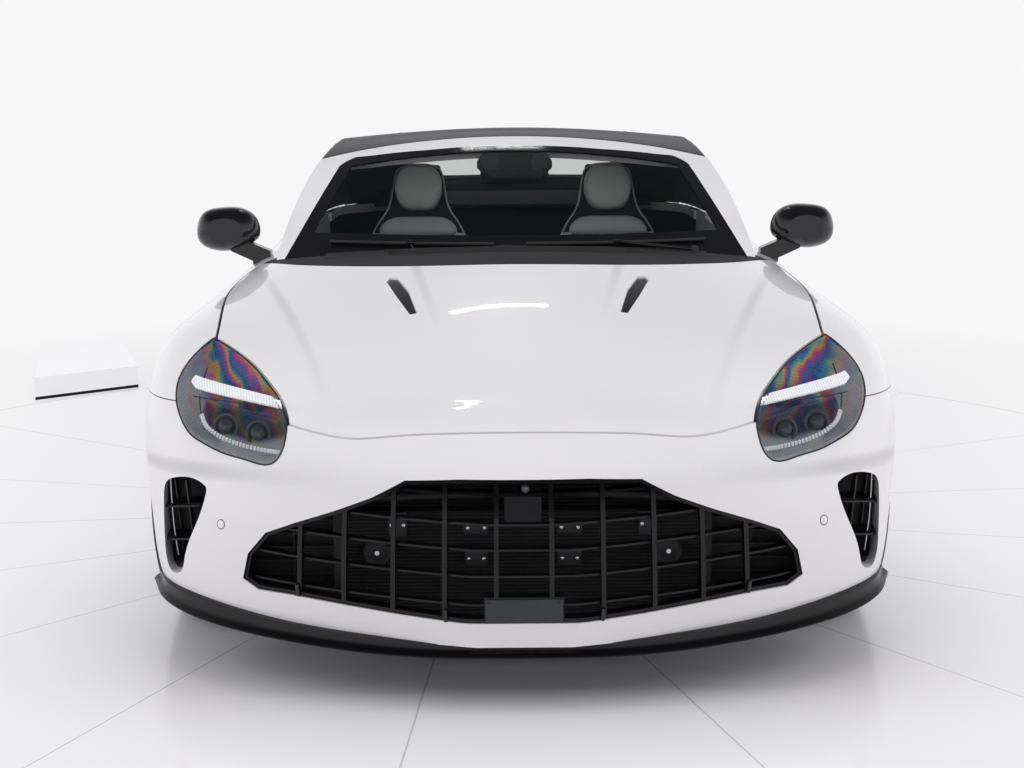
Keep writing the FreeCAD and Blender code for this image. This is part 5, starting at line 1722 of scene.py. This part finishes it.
# Cabin: padded seats, steering wheel trim, instruments and mirror
@dataclass
class SeatPad:
    """One padded cushion: a solid of stacked slices, filled out like a sewn pad.

    Attributes:
        name: The pad's name.
        slices: Cross sections from bottom to top or from rear to front.
        fill: How tightly it is stuffed, from 0 to 1.
        swell: How far a point may move while the pad fills.
        voxel: Size of the mesh's faces before the last subdivision.
    """

    name: str
    slices: tuple[tuple[Point, Point, Point, Point], ...]
    # fill: How tightly it is stuffed, from 0 to 1; not used.
    fill: float = 0.7
    swell: float = 0.012
    voxel: float = 0.01

    def shell(self) -> Piece:
        """Closed form through the slices."""
        return loft(self.name, self.slices)

    def build(self) -> Piece:
        """Build the pad."""
        piece = self.shell()
        modified(piece, "BEVEL", width=0.018, segments=3, limit_method="ANGLE", angle_limit=math.radians(25))
        modified(piece, "REMESH", mode="VOXEL", voxel_size=self.voxel)
        modified(piece, "SMOOTH", factor=0.5, iterations=6)
        self.stuff(piece)
        modified(piece, "SUBSURF", levels=1, render_levels=1)
        return shaded(piece, 80.0)

    def stuff(self, piece: Piece) -> None:
        """Fill the pad with pressure and keep how far it swells in bounds."""
        before = [vertex.co.copy() for vertex in piece.data.vertices]
        cloth = piece.modifiers.new("stuffing", "CLOTH")
        cloth.settings.use_pressure = True
        cloth.settings.uniform_pressure_force = 4.0
        cloth.settings.tension_stiffness = 12.0
        cloth.settings.compression_stiffness = 12.0
        cloth.settings.quality = 4
        cloth.settings.effector_weights.gravity = 0.0
        scene = bpy.context.scene
        for frame in range(1, 15):
            scene.frame_set(frame)
        held = piece.evaluated_get(bpy.context.evaluated_depsgraph_get())
        after = [vertex.co.copy() for vertex in held.data.vertices]
        piece.modifiers.remove(cloth)
        scene.frame_set(1)
        for vertex, start, end in zip(piece.data.vertices, before, after):
            move = end - start
            if move.length > self.swell:
                move = move.normalized() * self.swell
            vertex.co = start + move


@dataclass
class Seats:
    """Both seats: shells, cushions, bolsters, backs and headrests, with seams and piping."""

    middle: float = 0.37
    lean: float = 0.384
    foot_y: float = 0.375
    foot_z: float = 0.44

    def back(self, across: float, up: float, out: float) -> Point:
        """Place on the seat's back.

        Args:
            across: Distance from the seat's middle.
            up: Distance up the leaning back.
            out: Distance in front of the back's rear plane.

        Returns:
            The place in the car.
        """
        y = self.foot_y + up * math.sin(self.lean) - out * math.cos(self.lean)
        z = self.foot_z + up * math.cos(self.lean) + out * math.sin(self.lean)
        return self.middle + across, y + 0.055, z

    def back_pad(self, name: str, rows: Sequence[tuple[float, float, float, float, float]],
            **settings: float) -> SeatPad:
        """Pad on the back.

        Args:
            name: The pad's name.
            rows: For each row: height, left and right edge, rear and front face.
            settings: Further values of the pad.

        Returns:
            The pad.
        """
        slices = tuple((self.back(left, up, rear), self.back(right, up, rear), self.back(right, up, front),
                        self.back(left, up, front)) for up, left, right, rear, front in rows)
        return SeatPad(name, slices, **settings)

    def cushion_pad(self, name: str, rows: Sequence[tuple[float, float, float, float, float]],
            **settings: float) -> SeatPad:
        """Pad of the seat's base.

        Args:
            name: The pad's name.
            rows: For each row: place along the car, left and right edge, lower and upper face.
            settings: Further values of the pad.

        Returns:
            The pad.
        """
        x = self.middle
        slices = tuple(((x + left, y, low), (x + right, y, low), (x + right, y, high), (x + left, y, high))
                       for y, left, right, low, high in rows)
        return SeatPad(name, slices, **settings)

    def pads(self) -> list[tuple[SeatPad, Finish]]:
        """All pads of one seat."""
        insert = Hide("grey_leather_insert", (0.6, 0.61, 0.62), True)
        side_rows = ((0.02, 0.15, 0.222, 0.0, 0.125), (0.16, 0.152, 0.226, 0.0, 0.145), (0.32, 0.15, 0.214, 0.0, 0.13),
                     (0.43, 0.128, 0.186, 0.0, 0.09))
        other_rows = tuple((up, -right, -left, rear, front) for up, left, right, rear, front in side_rows)
        base_rows = ((-0.045, 0.158, 0.224, 0.325, 0.43), (0.12, 0.16, 0.226, 0.322, 0.448), (0.34, 0.158, 0.22, 0.325,
            0.44))
        other_base = tuple((y, -right, -left, low, high) for y, left, right, low, high in base_rows)
        return [(self.cushion_pad("seat_cushion", ((-0.058, -0.14, 0.14, 0.325, 0.405), (0.06, -0.15, 0.15, 0.318,
            0.424), (0.2, -0.15, 0.15, 0.318, 0.418), (0.36, -0.146, 0.146, 0.32, 0.408)), swell=0.014), insert),
            (self.cushion_pad("seat_bolster_outer", base_rows), GREY_HIDE), (self.cushion_pad("seat_bolster_inner",
            other_base), GREY_HIDE), (self.back_pad("seat_back_lower", ((0.015, -0.142, 0.142, 0.02, 0.09),
            (0.11, -0.144, 0.144, 0.02, 0.104), (0.215, -0.142, 0.142, 0.02, 0.098))), insert),
            (self.back_pad("seat_back_upper", ((0.232, -0.14, 0.14, 0.02, 0.098), (0.33, -0.136, 0.136, 0.02, 0.094),
            (0.405, -0.126, 0.126, 0.02, 0.088))), insert), (self.back_pad("seat_wing_outer", side_rows), GREY_HIDE),
            (self.back_pad("seat_wing_inner", other_rows), GREY_HIDE), (self.back_pad("seat_shoulder",
            ((0.418, -0.156, 0.156, 0.02, 0.094), (0.452, -0.152, 0.152, 0.02, 0.092), (0.482, -0.124, 0.124, 0.024,
            0.084), (0.498, -0.08, 0.08, 0.028, 0.072))), GREY_HIDE), (self.back_pad("seat_headrest",
            ((0.522, -0.05, 0.05, 0.034, 0.084), (0.548, -0.078, 0.078, 0.03, 0.1), (0.6, -0.094, 0.094, 0.028, 0.11),
            (0.655, -0.088, 0.088, 0.028, 0.106), (0.69, -0.068, 0.068, 0.032, 0.096), (0.706, -0.044, 0.044, 0.038,
            0.084)), swell=0.01), GREY_HIDE),]

    def shell(self) -> list[Piece]:
        """Dark shell behind the pads, with its lighter edge and the belt's slot."""
        rows = ((0.0, 0.215), (0.16, 0.222), (0.33, 0.212), (0.46, 0.172), (0.54, 0.112), (0.64, 0.1), (0.72, 0.082))
        slices = tuple((self.back(-half, up, -0.012), self.back(half, up, -0.012), self.back(half, up, 0.034),
                        self.back(-half, up, 0.034)) for up, half in rows)
        shell = SeatPad("seat_shell", slices).shell()
        rounded(shell, 0.01, 3, 20.0)
        dress(shaded(shell, 50.0), BLACK_GRAIN)
        edge = [self.back(half, up, 0.036) for up, half in rows]
        edge += [self.back(-half, up, 0.036) for up, half in reversed(rows)]
        piping = dress(tube("seat_piping", edge, 0.0035, 8), GREY_HIDE)
        base = box("seat_base", (self.middle - 0.215, -0.03, 0.298), (self.middle + 0.215, 0.37, 0.33))
        dress(rounded(base, 0.008), BLACK_GRAIN)
        hinge = []
        for index, side in enumerate((-1, 1)):
            cover = rod(f"seat_hinge_{index}", 0.055, 0.018, (self.middle + side * 0.222, 0.395, 0.395),
                (1, 0, 0), 40)
            inset(cover, facing(0), 0.01, -0.002)
            hinge.append(dress(rounded(cover, 0.003), BLACK_GRAIN))
        return [shell, piping, base, *hinge]

    def seam(self) -> Piece:
        """Sewn seam between the two back pads."""
        line = [self.back(share * 0.136, 0.224, 0.098 - 0.01 * share * share) for share in (-1, -0.5, 0, 0.5, 1)]
        return dress(tube("seam_back_middle", line, 0.0014, 6), BLACK_GRAIN)

    def build(self) -> None:
        """Build the left seat and mirror it to the right."""
        left = []
        for pad, finish in self.pads():
            piece = dress(pad.build(), finish)
            left.append((piece, pad))
        hard = [(piece, None) for piece in [*self.shell(), self.seam()]]
        for piece, pad in left + hard:
            name = piece.name
            other = mirror_image(piece, f"{name}_right")
            piece.name = f"{name}_left"
            for made, node in ((piece, "seat_left"), (other, "seat_right")):
                if pad is not None:
                    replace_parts(made, node)


@dataclass
class WheelTrim:
    """Trim of the steering wheel: badge-free boss rings and buttons."""

    hub: Point = (0.37, -0.13, 0.745)

    def build(self) -> None:
        """Build the trim; it turns with the wheel."""
        node = NODES["steering_wheel"]
        low = Vector([min(v.co[i] for v in node.data.vertices) for i in range(3)])
        high = Vector([max(v.co[i] for v in node.data.vertices) for i in range(3)])
        tilt = math.atan2(high.y - low.y - 0.03, high.z - low.z)
        ahead = Vector((0, math.cos(tilt), -math.sin(tilt)))
        up = Vector((0, math.sin(tilt), math.cos(tilt)))
        hub = Vector(self.hub)
        face = hub + ahead * 0.028
        for index, radius in enumerate((0.03, 0.022)):
            dress(torus(f"wheel_boss_ring_{index}", radius, 0.0018, face, -ahead), POLISHED,
                "steering_wheel")
        for index, (side, height) in enumerate(((-1, 0.012), (1, 0.012), (-1, -0.012), (1, -0.012))):
            place = hub + Vector((side * 0.088, 0, 0)) + up * height + ahead * 0.02
            dress(ball(f"wheel_button_{index}", 0.01, place, (1.5, 0.4, 0.8)), BLACK_GLOSS,
                "steering_wheel")


@dataclass
class Instruments:
    """Instrument hood, display, centre screen, air vents, stitched edge and the rear-view mirror."""

    def build(self) -> None:
        """Build the parts on the dashboard."""
        top = Fitter("dashboard")
        hood = box("instrument_hood", (0.235, -0.52, 0.868), (0.505, -0.3, 0.902))
        shifted(hood, lambda place, normal: place.y < -0.51, (0, 0, -0.018))
        rounded(hood, 0.014, 4)
        dress(shaded(hood, 60.0), SOFT_BLACK)
        rim = tube("instrument_rim", ((0.24, -0.304, 0.872), (0.262, -0.298, 0.9), (0.37, -0.296, 0.908),
                                            (0.478, -0.298, 0.9), (0.5, -0.304, 0.872)), 0.003, 8)
        dress(rim, POLISHED)
        dress(rounded(box("instrument_display", (0.262, -0.296, 0.77), (0.478, -0.29, 0.862)), 0.003),
            LENS_DOME)
        for index, z in enumerate((0.874, 0.868)):
            edge = [top.top(x, -0.18 - index * 0.04, -0.001) for x in (-0.66, -0.4, -0.1, 0.1)]
            dress(tube(f"dashboard_seam_{index}", edge, 0.0016, 6), GREY_HIDE)
        screen = box("centre_screen", (-0.13, -0.148, 0.7), (0.13, -0.138, 0.8))
        inset(screen, facing(1, 1), 0.006, -0.001)
        dress(rounded(screen, 0.003), LENS_DOME)
        for index, x in enumerate((-0.6, -0.19, 0.18, 0.6)):
            dress(torus(f"air_vent_{index}", 0.034, 0.004, (x, -0.136, 0.77), (0, 1, 0)), POLISHED)
            for row in range(5):
                z = 0.77 + (row - 2) * 0.012
                half = math.sqrt(0.032 ** 2 - (z - 0.77) ** 2)
                dress(box(f"air_vent_{index}_slat_{row}", (x - half, -0.142, z - 0.0012), (x + half, -0.132,
                    z + 0.0012)), BLACK_GRAIN)
        dress(ball("dashboard_sensor", 0.018, top.top(0.0, -0.5, 0.0), (1.7, 1.0, 0.35)), GREY_HIDE)
        shelf = loft("rear_shelf", [[(x, 0.8, 0.945), (x, 1.08, 0.985), (x, 1.08, 0.989), (x, 0.8, 0.951)]
                                          for x in (-0.56, -0.2, 0.2, 0.56)])
        dress(rounded(shelf, 0.001, 2), Carpet())
        self.mirror()

    def mirror(self) -> None:
        """Rear-view mirror on its stalk under the windscreen's header."""
        glass = Fitter("windscreen_glass")
        root = glass.top(0.0, -0.2, 0.006)
        case = box("inner_mirror", (-0.118, -0.145, 1.085), (0.118, -0.118, 1.145))
        shifted(case, lambda place, normal: place.y < -0.14, (0, 0, 0.006))
        rounded(case, 0.012, 4)
        dress(shaded(case, 60.0), BLACK_GRAIN)
        dress(box("inner_mirror_glass", (-0.108, -0.1175, 1.092), (0.108, -0.116, 1.138)), MIRROR_GLASS)
        dress(tube("inner_mirror_stalk", (root, (0, root.y + 0.03, root.z - 0.03), (0, -0.142, 1.118)), 0.009,
            10), BLACK_GRAIN)
        rows = [[(-half, y, z), (half, y, z), (half, y, z - 0.03), (-half, y, z - 0.03)] for half, y,
            z in ((0.085, -0.3, glass.top(0, -0.3, 0.006).z), (0.13, -0.225, glass.top(0, -0.225, 0.006).z),
            (0.115, -0.165, glass.top(0, -0.165, 0.006).z))]
        pod = rounded(loft("rain_sensor", rows), 0.008)
        dress(shaded(pod), BLACK_GRAIN)


# Outside parts: soft top, tyres, wheel details, handles, flaps and lamps at the rear
@dataclass
class FabricTop:
    """Soft top of taut woven fabric over bows, with seams, piping and a rubber edge."""

    bows: tuple[float, ...] = (0.2, 0.52, 0.83)
    voxel: float = 0.011
    skin: Fitter = field(default_factory=lambda: Fitter("soft_top"))

    def sag(self, place: Vector, normal: Vector) -> float:
        """How far the fabric lies over or under the plain form.

        Args:
            place: Place on the fabric.
            normal: Its outward direction there.

        Returns:
            The height along the normal.
        """
        if normal.z < 0.15:
            return 0.0
        over = sum(math.exp(-((place.y - bow) / 0.045) ** 2) for bow in self.bows)
        wide = min(1.0, abs(place.x) / 0.62)
        dip = -0.0045 * (1 - over) * (1 - wide ** 4)
        corner = math.exp(-(((place.y - 1.02) / 0.24) ** 2 + ((abs(place.x) - 0.52) / 0.16) ** 2))
        folds = 0.0024 * corner * math.sin((place.y * 0.8 + abs(place.x) * 1.1) * 60.0)
        edge = min(1.0, max(0.0, (place.y - 0.05) / 0.1)) * min(1.0, max(0.0, (1.36 - place.y) / 0.08))
        return (dip * 0.8 + 0.0022 * over * (1 - wide ** 6) + folds) * edge

    def cover(self) -> None:
        """The fabric itself."""
        piece = copied(NODES["soft_top"], "top_cover", Matrix())
        select_only(piece)
        bpy.ops.object.mode_set(mode="EDIT")
        bpy.ops.mesh.select_all(action="SELECT")
        bpy.ops.mesh.remove_doubles(threshold=0.0001)
        leave_edit()
        modified(piece, "REMESH", mode="VOXEL", voxel_size=self.voxel)
        modified(piece, "SMOOTH", factor=0.5, iterations=3)
        normals = [vertex.normal.copy() for vertex in piece.data.vertices]
        for vertex, normal in zip(piece.data.vertices, normals):
            vertex.co += normal * self.sag(vertex.co, normal)
        dress(shaded(piece, 60.0), TOP)
        self.skin = Fitter(piece)
        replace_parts(piece, "soft_top")

    def line(self, name: str, points: Sequence[Pair], finish: Finish, radius: float = 0.0022) -> None:
        """Seam or piping half sunk in the top."""
        places = [self.skin.top(x, y, 0.0004) for x, y in points]
        dress(tube(name, places, radius, 8), finish)

    def build(self) -> None:
        """Build the soft top."""
        self.cover()
        for side in Side:
            sign = side.sign
            self.line(f"top_seam_{side}", [(0.42 * sign, y / 100) for y in range(22, 118, 4)], TOP_PIPING)
            self.line(f"top_edge_{side}", [(0.595 * sign, 0.22), (0.605 * sign, 0.3), (0.615 * sign, 0.5),
                (0.615 * sign, 0.7), (0.6 * sign, 0.88)], TOP_PIPING, 0.0026)
        self.line("top_cross_seam_0", [(x / 20, 1.19 + x * x * 0.0002) for x in range(-10, 11)], TOP_PIPING)
        glass = Fitter("rear_window", "soft_top")
        ring = [(0.4, 0.8), (0.42, 0.95), (0.405, 1.12), (0.3, 1.165), (0.0, 1.175), (-0.3, 1.165), (-0.405, 1.12),
                (-0.42, 0.95), (-0.4, 0.8), (-0.3, 0.775), (0.0, 0.768), (0.3, 0.775), (0.4, 0.8)]
        places = [glass.top(x, y, -0.001) for x, y in ring]
        dress(tube("rear_window_piping", places, 0.0042, 8), BLACK_GRAIN)


@dataclass
class Tyres:
    """Tyres with grooves, sipes, bead and side rings."""

    groove: float = 0.007
    sides: int = 96

    def tread(self, end: str, y: float, side: Side) -> None:
        """Dressed tyre with the CAD tyre's outline."""
        name = f"{end}_tyre_{side}"
        node = NODES[name]
        axle = AXLE_HEIGHT
        body = f"wheel_{end}_{side}"
        places = [(v.co.x, math.hypot(v.co.y - y, v.co.z - axle)) for v in node.data.vertices]
        low, high = min(p[0] for p in places), max(p[0] for p in places)
        middle, half = (low + high) / 2, (high - low) / 2
        outer = max(p[1] for p in places) - 0.0006
        inner = min(p[1] for p in places) + 0.0006
        shape = []
        grooves = (-0.62, -0.24, 0.24, 0.62)
        tread_half = half * 0.8
        for share in (-1.0, -0.93, -0.8):
            shape.append((share * tread_half, outer - 0.004 * (abs(share) ** 6)))
        for place in grooves:
            at = place * tread_half
            wide = 0.0052
            shape += [(at - wide, outer), (at - wide * 0.7, outer - self.groove), (at + wide * 0.7,
                outer - self.groove), (at + wide, outer)]
        for share in (0.8, 0.93, 1.0):
            shape.append((share * tread_half, outer - 0.004 * (abs(share) ** 6)))
        wall = [(0.905, -0.016), (0.965, -0.036), (0.985, -0.052), (0.992, -0.054), (0.99, -0.058), (0.975, -0.066),
                (0.955, -0.0735), (0.95, -0.073), (0.945, -0.0755), (0.925, -0.082)]
        right = [(share * half * 0.995, outer + drop) for share, drop in wall if outer + drop > inner + 0.006]
        left = [(-x, reach) for x, reach in reversed(right)]
        bead = half * 0.86
        ring = left + shape + right + [(bead, inner + 0.0065), (bead * 0.97, inner), (bead * 0.9, inner),
                                       (bead * 0.86, inner + 0.01), (tread_half, outer - 0.03), (0.0, outer - 0.022),
                                       (-tread_half, outer - 0.03), (-bead * 0.86, inner + 0.01), (-bead * 0.9, inner),
                                       (-bead * 0.97, inner), (-bead, inner + 0.0065)]
        turns = [2 * math.pi * step / self.sides for step in range(self.sides)]
        piece = loft(f"{name}_dressed", [[(middle + x, y + reach * math.cos(turn), axle + reach * math.sin(turn))
                                                for x, reach in ring] for turn in turns], True)
        shaded(piece, 42.0)
        dress(piece, Tread(f"tread_{end}_{side}", centre=(y, axle), middle=middle, half=tread_half, reach=outer),
            body)
        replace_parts(piece, name)

    def build(self) -> None:
        """Build the four tyres."""
        for end, y in AXLES:
            for side in Side:
                self.tread(end, y, side)


@dataclass
class WheelDetails:
    """Centre caps without any sign, bolts and valves."""

    def build(self) -> None:
        """Build the details of the four wheels."""
        for end, y in AXLES:
            for side in Side:
                node = NODES[f"{end}_wheel_{side}"]
                sign = side.sign
                face = max(v.co.x * sign for v in node.data.vertices if math.hypot(v.co.y - y,
                    v.co.z - AXLE_HEIGHT) < 0.05)
                body = f"wheel_{end}_{side}"
                tail = f"{end}_{side}"
                cap = rod(f"wheel_cap_{tail}", 0.031, 0.006, ((face + 0.002) * sign, y, AXLE_HEIGHT),
                    (sign, 0, 0), 40, 0.027)
                inset(cap, facing(0, sign), 0.004, -0.0012)
                dress(rounded(cap, 0.0012), BLACK_GLOSS, body)
                for index in range(5):
                    turn = math.radians(90 + index * 72)
                    place = (face * sign, y + 0.052 * math.cos(turn), AXLE_HEIGHT + 0.052 * math.sin(turn))
                    found = Fitter(f"{end}_wheel_{side}").hit((1.3 * sign, place[1], place[2]), (-sign, 0, 0))
                    at = found[0].x if found else face * sign
                    bolt = rod(f"wheel_bolt_{tail}_{index}", 0.01, 0.012, (at + 0.002 * sign, place[1],
                        place[2]), (sign, 0, 0), 6, 0.0092)
                    dress(rounded(bolt, 0.0012, 2), POLISHED, body)
                dress(rounded(rod(f"wheel_valve_{tail}", 0.0042, 0.022, ((face - 0.01) * sign, y + 0.235,
                    0.3), (sign, 0, 0), 16, 0.0036), 0.0008, 2), BLACK_GRAIN, body)


@dataclass
class SideDetails:
    """Door handles, mirror glass, fuel flap and side vents."""

    def handle(self, side: Side, skin: Fitter) -> None:
        """Flush door handle with its finger recess."""
        body = f"door_{side}"
        corners = [(0.395, 0.69), (0.59, 0.7), (0.592, 0.722), (0.4, 0.716)]
        wide = [(0.389, 0.684), (0.597, 0.694), (0.599, 0.728), (0.394, 0.722)]
        dress(draped(f"door_handle_{side}", corners, (1, 2), skin.flank(side, 0.0022), 0.004, 20), WHITE,
            body)
        dress(draped(f"handle_gap_{side}", wide, (1, 2), skin.flank(side, 0.0004), 0.0008, 20), BLACK_GRAIN,
            body)

    def vent(self, side: Side, skin: Fitter) -> None:
        """Side vent behind the front wheel with a bright blade."""
        panel = draped(f"side_vent_{side}", [(-0.955, 0.47), (-0.69, 0.52), (-0.668, 0.59), (-0.93, 0.572)],
            (1, 2), skin.flank(side, 0.0008), 0.0016, 24)
        dress(panel, BLACK_GLOSS)
        for index in range(3):
            drop = index * 0.024
            blade = draped(f"side_vent_blade_{index}_{side}", [(-0.93, 0.556 - drop),
                (-0.685, 0.58 - drop * 0.7), (-0.684, 0.574 - drop * 0.7), (-0.93, 0.549 - drop)], (1, 2),
                skin.flank(side, 0.0034), 0.003, 20)
            dress(blade, POLISHED if index == 0 else BLACK_GRAIN)

    def mirror(self, side: Side) -> None:
        """Mirror glass."""
        node = NODES[f"mirror_{side}"]
        sign = side.sign
        xs = [v.co.x * sign for v in node.data.vertices]
        outer = max(xs)
        head = [v.co for v in node.data.vertices if v.co.x * sign > outer - 0.15]
        low_z, high_z = min(v.z for v in head), max(v.z for v in head)
        back = max(v.y for v in head)
        middle = Vector(((outer - 0.085) * sign, back - 0.0005, (low_z + high_z) / 2 + 0.006))
        glass = rod(f"mirror_glass_{side}", 0.036, 0.003, middle, (0, 1, 0), 48)
        glass.data.transform(Matrix.Translation(middle) @ Matrix.Diagonal((1.75, 1, 1,
            1)) @ Matrix.Translation(-middle))
        dress(rounded(glass, 0.0008, 2), MIRROR_GLASS, f"door_{side}")

    def build(self) -> None:
        """Build the parts of both sides."""
        for side in Side:
            self.handle(side, Fitter("door_left"))
            self.vent(side, Fitter("front_fender_left"))
            self.mirror(side)
        quarter = Fitter("quarter_panel_right")
        found = quarter.hit((-BESIDE, 1.2, 0.8), (1, 0, 0))
        if found is not None:
            dress(torus("fuel_flap_gap", 0.078, 0.0012, found[0], found[1]), BLACK_GRAIN)
            dress(rounded(rod("fuel_flap", 0.0765, 0.003, found[0], found[1], 64), 0.001, 2), WHITE)


@dataclass
class RearDetails:
    """Plate recess and carrier, plate lamps, reflectors, third brake light and sensors."""

    def build(self) -> None:
        """Build the parts at the rear."""
        skin = Fitter("rear_bumper", "boot_lid")

        def land(lift: float) -> Land:
            """Places behind the tail at a height over its skin."""
            def find(x: float, z: float) -> Vector:
                """Place over the skin."""
                found = skin.hit((x, BEHIND, z), (0, -1, 0))
                if found is None:
                    return Vector((x, 2.23, z))
                return found[0] + found[1] * lift
            return find

        dress(draped("plate_recess", [(-0.3, 0.38), (0.3, 0.38), (0.33, 0.5), (-0.33, 0.5)], (0, 2),
            land(-0.0006), 0.0016), BLACK_GRAIN)
        dress(draped("plate_carrier", [(-0.26, 0.392), (0.26, 0.392), (0.26, 0.486), (-0.26, 0.486)], (0, 2),
            land(0.0004), 0.0012), COVER_GREY)
        for side in Side:
            dress(ball(f"plate_lamp_{side}", 0.008, land(-0.004)(0.12 * side.sign, 0.494), (2.0, 0.55, 0.6)),
                LIT_GUIDE)
            for index, (x, z) in enumerate(((0.4, 0.345), (0.74, 0.35))):
                found = skin.hit((x * side.sign, BEHIND, z), (0, -1, 0))
                if found is None:
                    continue
                dress(rounded(rod(f"rear_sensor_{index}_{side}", 0.0105, 0.002, found[0], found[1], 32),
                    0.0005, 2), BLACK_GRAIN)
            # The reflector takes the red lamp finish and glows faintly: painted light, since a reflector is no lamp.
            reflector = draped(f"rear_reflector_{side}", [(0.62 * side.sign, 0.298), (0.8 * side.sign, 0.304),
                (0.8 * side.sign, 0.32), (0.62 * side.sign, 0.314)], (0, 2), land(0.0016), 0.003, 16)
            dress(reflector, RED_GUIDE)
        lid = Fitter("boot_lid")
        points = [lid.top(x / 10, 2.2, -0.001) for x in range(-3, 4)]
        dress(tube("high_brake_light", points, 0.0045, 8), RED_GUIDE, "boot_lid")


# Parts seen with the bonnet and the doors open
@dataclass
class EngineBay:
    """Covers, pipes, hoses and reservoirs on the engine block."""

    top: float = 0.6

    def shoulder(self, place: Vector, _: Vector) -> bool:
        """Test for the upper outer corner of a cam cover."""
        return place.z > self.top + 0.05 and place.x > 0.2

    def cam_cover(self, side: Side) -> None:
        """Ribbed cover over one bank of cylinders."""
        cover = box(f"cam_cover_{side}", (0.12, -1.62, self.top), (0.255, -0.96, self.top + 0.055))
        shifted(cover, self.shoulder, (-0.015, 0, -0.022))
        rounded(cover, 0.012, 4)
        parts = [cover]
        for index in range(9):
            y = -1.58 + index * 0.072
            rib = box(f"rib_{index}", (0.13, y, self.top + 0.04), (0.222, y + 0.01, self.top + 0.06))
            shifted(rib, self.shoulder, (0, 0, -0.016))
            parts.append(rounded(rib, 0.002, 2))
        piece = joined(f"cam_cover_{side}", parts)
        dress(shaded(sided(piece, side)), ENGINE_PAINT)
        for index in range(4):
            y = -1.53 + index * 0.16
            line = side.points((0.175, y, self.top + 0.052), (0.15, y, self.top + 0.085),
                (0.085, y + 0.02, self.top + 0.08))
            dress(tube(f"ignition_lead_{side}_{index}", line, 0.005, 8), BLACK_GRAIN)

    def intake(self) -> None:
        """Intake chest with its ribs and two throttle pipes."""
        chest = box("intake_chest", (-0.095, -1.56, self.top), (0.095, -1.0, self.top + 0.075))
        rounded(chest, 0.022, 5)
        parts = [chest]
        for index in range(6):
            y = -1.51 + index * 0.085
            parts.append(rounded(box(f"chest_rib_{index}", (-0.085, y, self.top + 0.06),
                (0.085, y + 0.012, self.top + 0.082)), 0.004, 2))
        dress(shaded(joined("intake_chest", parts)), ENGINE_BLACK)
        for side in Side:
            line = side.points((0.05, -1.54, self.top + 0.04), (0.11, -1.69, self.top + 0.045),
                (0.26, -1.8, self.top + 0.01), (0.33, -1.88, self.top - 0.06))
            dress(tube(f"intake_pipe_{side}", line, 0.034, 16), ENGINE_BLACK)
            for index, (x, y) in enumerate(((0.078, -1.625), (0.255, -1.795))):
                clamp = torus(f"pipe_clamp_{side}_{index}", 0.035, 0.003, (x * side.sign, y, self.top + 0.04
                    - index * 0.028), (0.55 * side.sign, -0.83, 0))
                dress(clamp, POLISHED)

    def reservoirs(self) -> None:
        """Coolant and washer bottles with their caps."""
        for index, (x, y) in enumerate(((0.45, -0.98), (-0.45, -0.98), (-0.44, -1.14))):
            dress(shaded(rounded(box(f"reservoir_{index}", (x - 0.06, y - 0.06, 0.56),
                (x + 0.06, y + 0.06, 0.68)), 0.02, 5)), BOTTLE)
            cap = rod(f"reservoir_cap_{index}", 0.026, 0.02, (x, y, 0.69), (0, 0, 1), 24, 0.023)
            inset(cap, facing(2, 1), 0.005, 0.003)
            dress(rounded(cap, 0.002, 2), BLACK_GRAIN)

    def build(self) -> None:
        """Build the bay's parts."""
        for side in Side:
            self.cam_cover(side)
            line = side.points((0.5, -1.34, 0.66), (0.3, -1.2, 0.7), (0.0, -0.95, 0.72))
            dress(tube(f"bay_brace_{side}", line, 0.012, 12), LIGHT_ALLOY)
        self.intake()
        self.reservoirs()


@dataclass
class DoorCards:
    """Inner trim of the doors: padded panel, insert, armrest, pull and speaker."""

    def build(self) -> None:
        """Build the trim of both doors."""
        for side in Side:
            sign = side.sign
            body = f"door_{side}"
            inner = Fitter("door_left")

            def land(lift: float) -> Land:
                """Places on the door's inner face at a height over it."""
                def find(y: float, z: float) -> Vector:
                    """Place on the inner face."""
                    met = inner.hit((0.3, y, z), (1, 0, 0))
                    x = met[0].x if met else 0.74
                    return Vector(((x - lift) * sign, y, z))
                return find

            panel = draped(f"door_card_{side}", [(-0.42, 0.4), (0.5, 0.4), (0.56, 0.6), (0.54, 0.8),
                (-0.44, 0.78)], (1, 2), land(0.004), 0.005, 24)
            dress(panel, SOFT_BLACK, body)
            dress(draped(f"door_insert_{side}", [(-0.1, 0.62), (0.46, 0.62), (0.5, 0.72), (-0.14, 0.72)], (1, 2),
                land(0.01), 0.008, 20), GREY_HIDE, body)
            level = land(0.0)(0.15, 0.6).x * sign
            rest = box(f"armrest_{side}", (level - 0.048, -0.06, 0.555), (level - 0.006, 0.42, 0.592))
            rounded(rest, 0.014, 4)
            dress(shaded(sided(rest, side)), SOFT_BLACK, body)
            line = side.points((level - 0.01, -0.05, 0.655), (level - 0.034, -0.02, 0.66),
                (level - 0.034, 0.12, 0.665), (level - 0.01, 0.15, 0.66))
            dress(tube(f"door_pull_{side}", line, 0.007, 12), POLISHED, body)
            middle = land(0.008)(-0.22, 0.52)
            speaker = rod(f"door_speaker_{side}", 0.078, 0.008, middle, (1, 0, 0), 48)
            inset(speaker, facing(0), 0.006, -0.002)
            dress(rounded(speaker, 0.0015, 2), SPEAKER_MESH, body)


def main() -> None:
    """Build the stage and every piece, in order."""
    logging.basicConfig(level=logging.INFO, format="%(name)s: %(message)s")
    for maker in (Studio, CadDress, Headlight, GrilleParts, NoseSensors, Ducts, Blade, ScreenFoot, ScreenCorners,
            Wipers, Seats, FabricTop, Tyres, WheelDetails, SideDetails, RearDetails, EngineBay, DoorCards, WheelTrim,
            Instruments):
        maker().build()


if __name__ == "__main__":
    main()
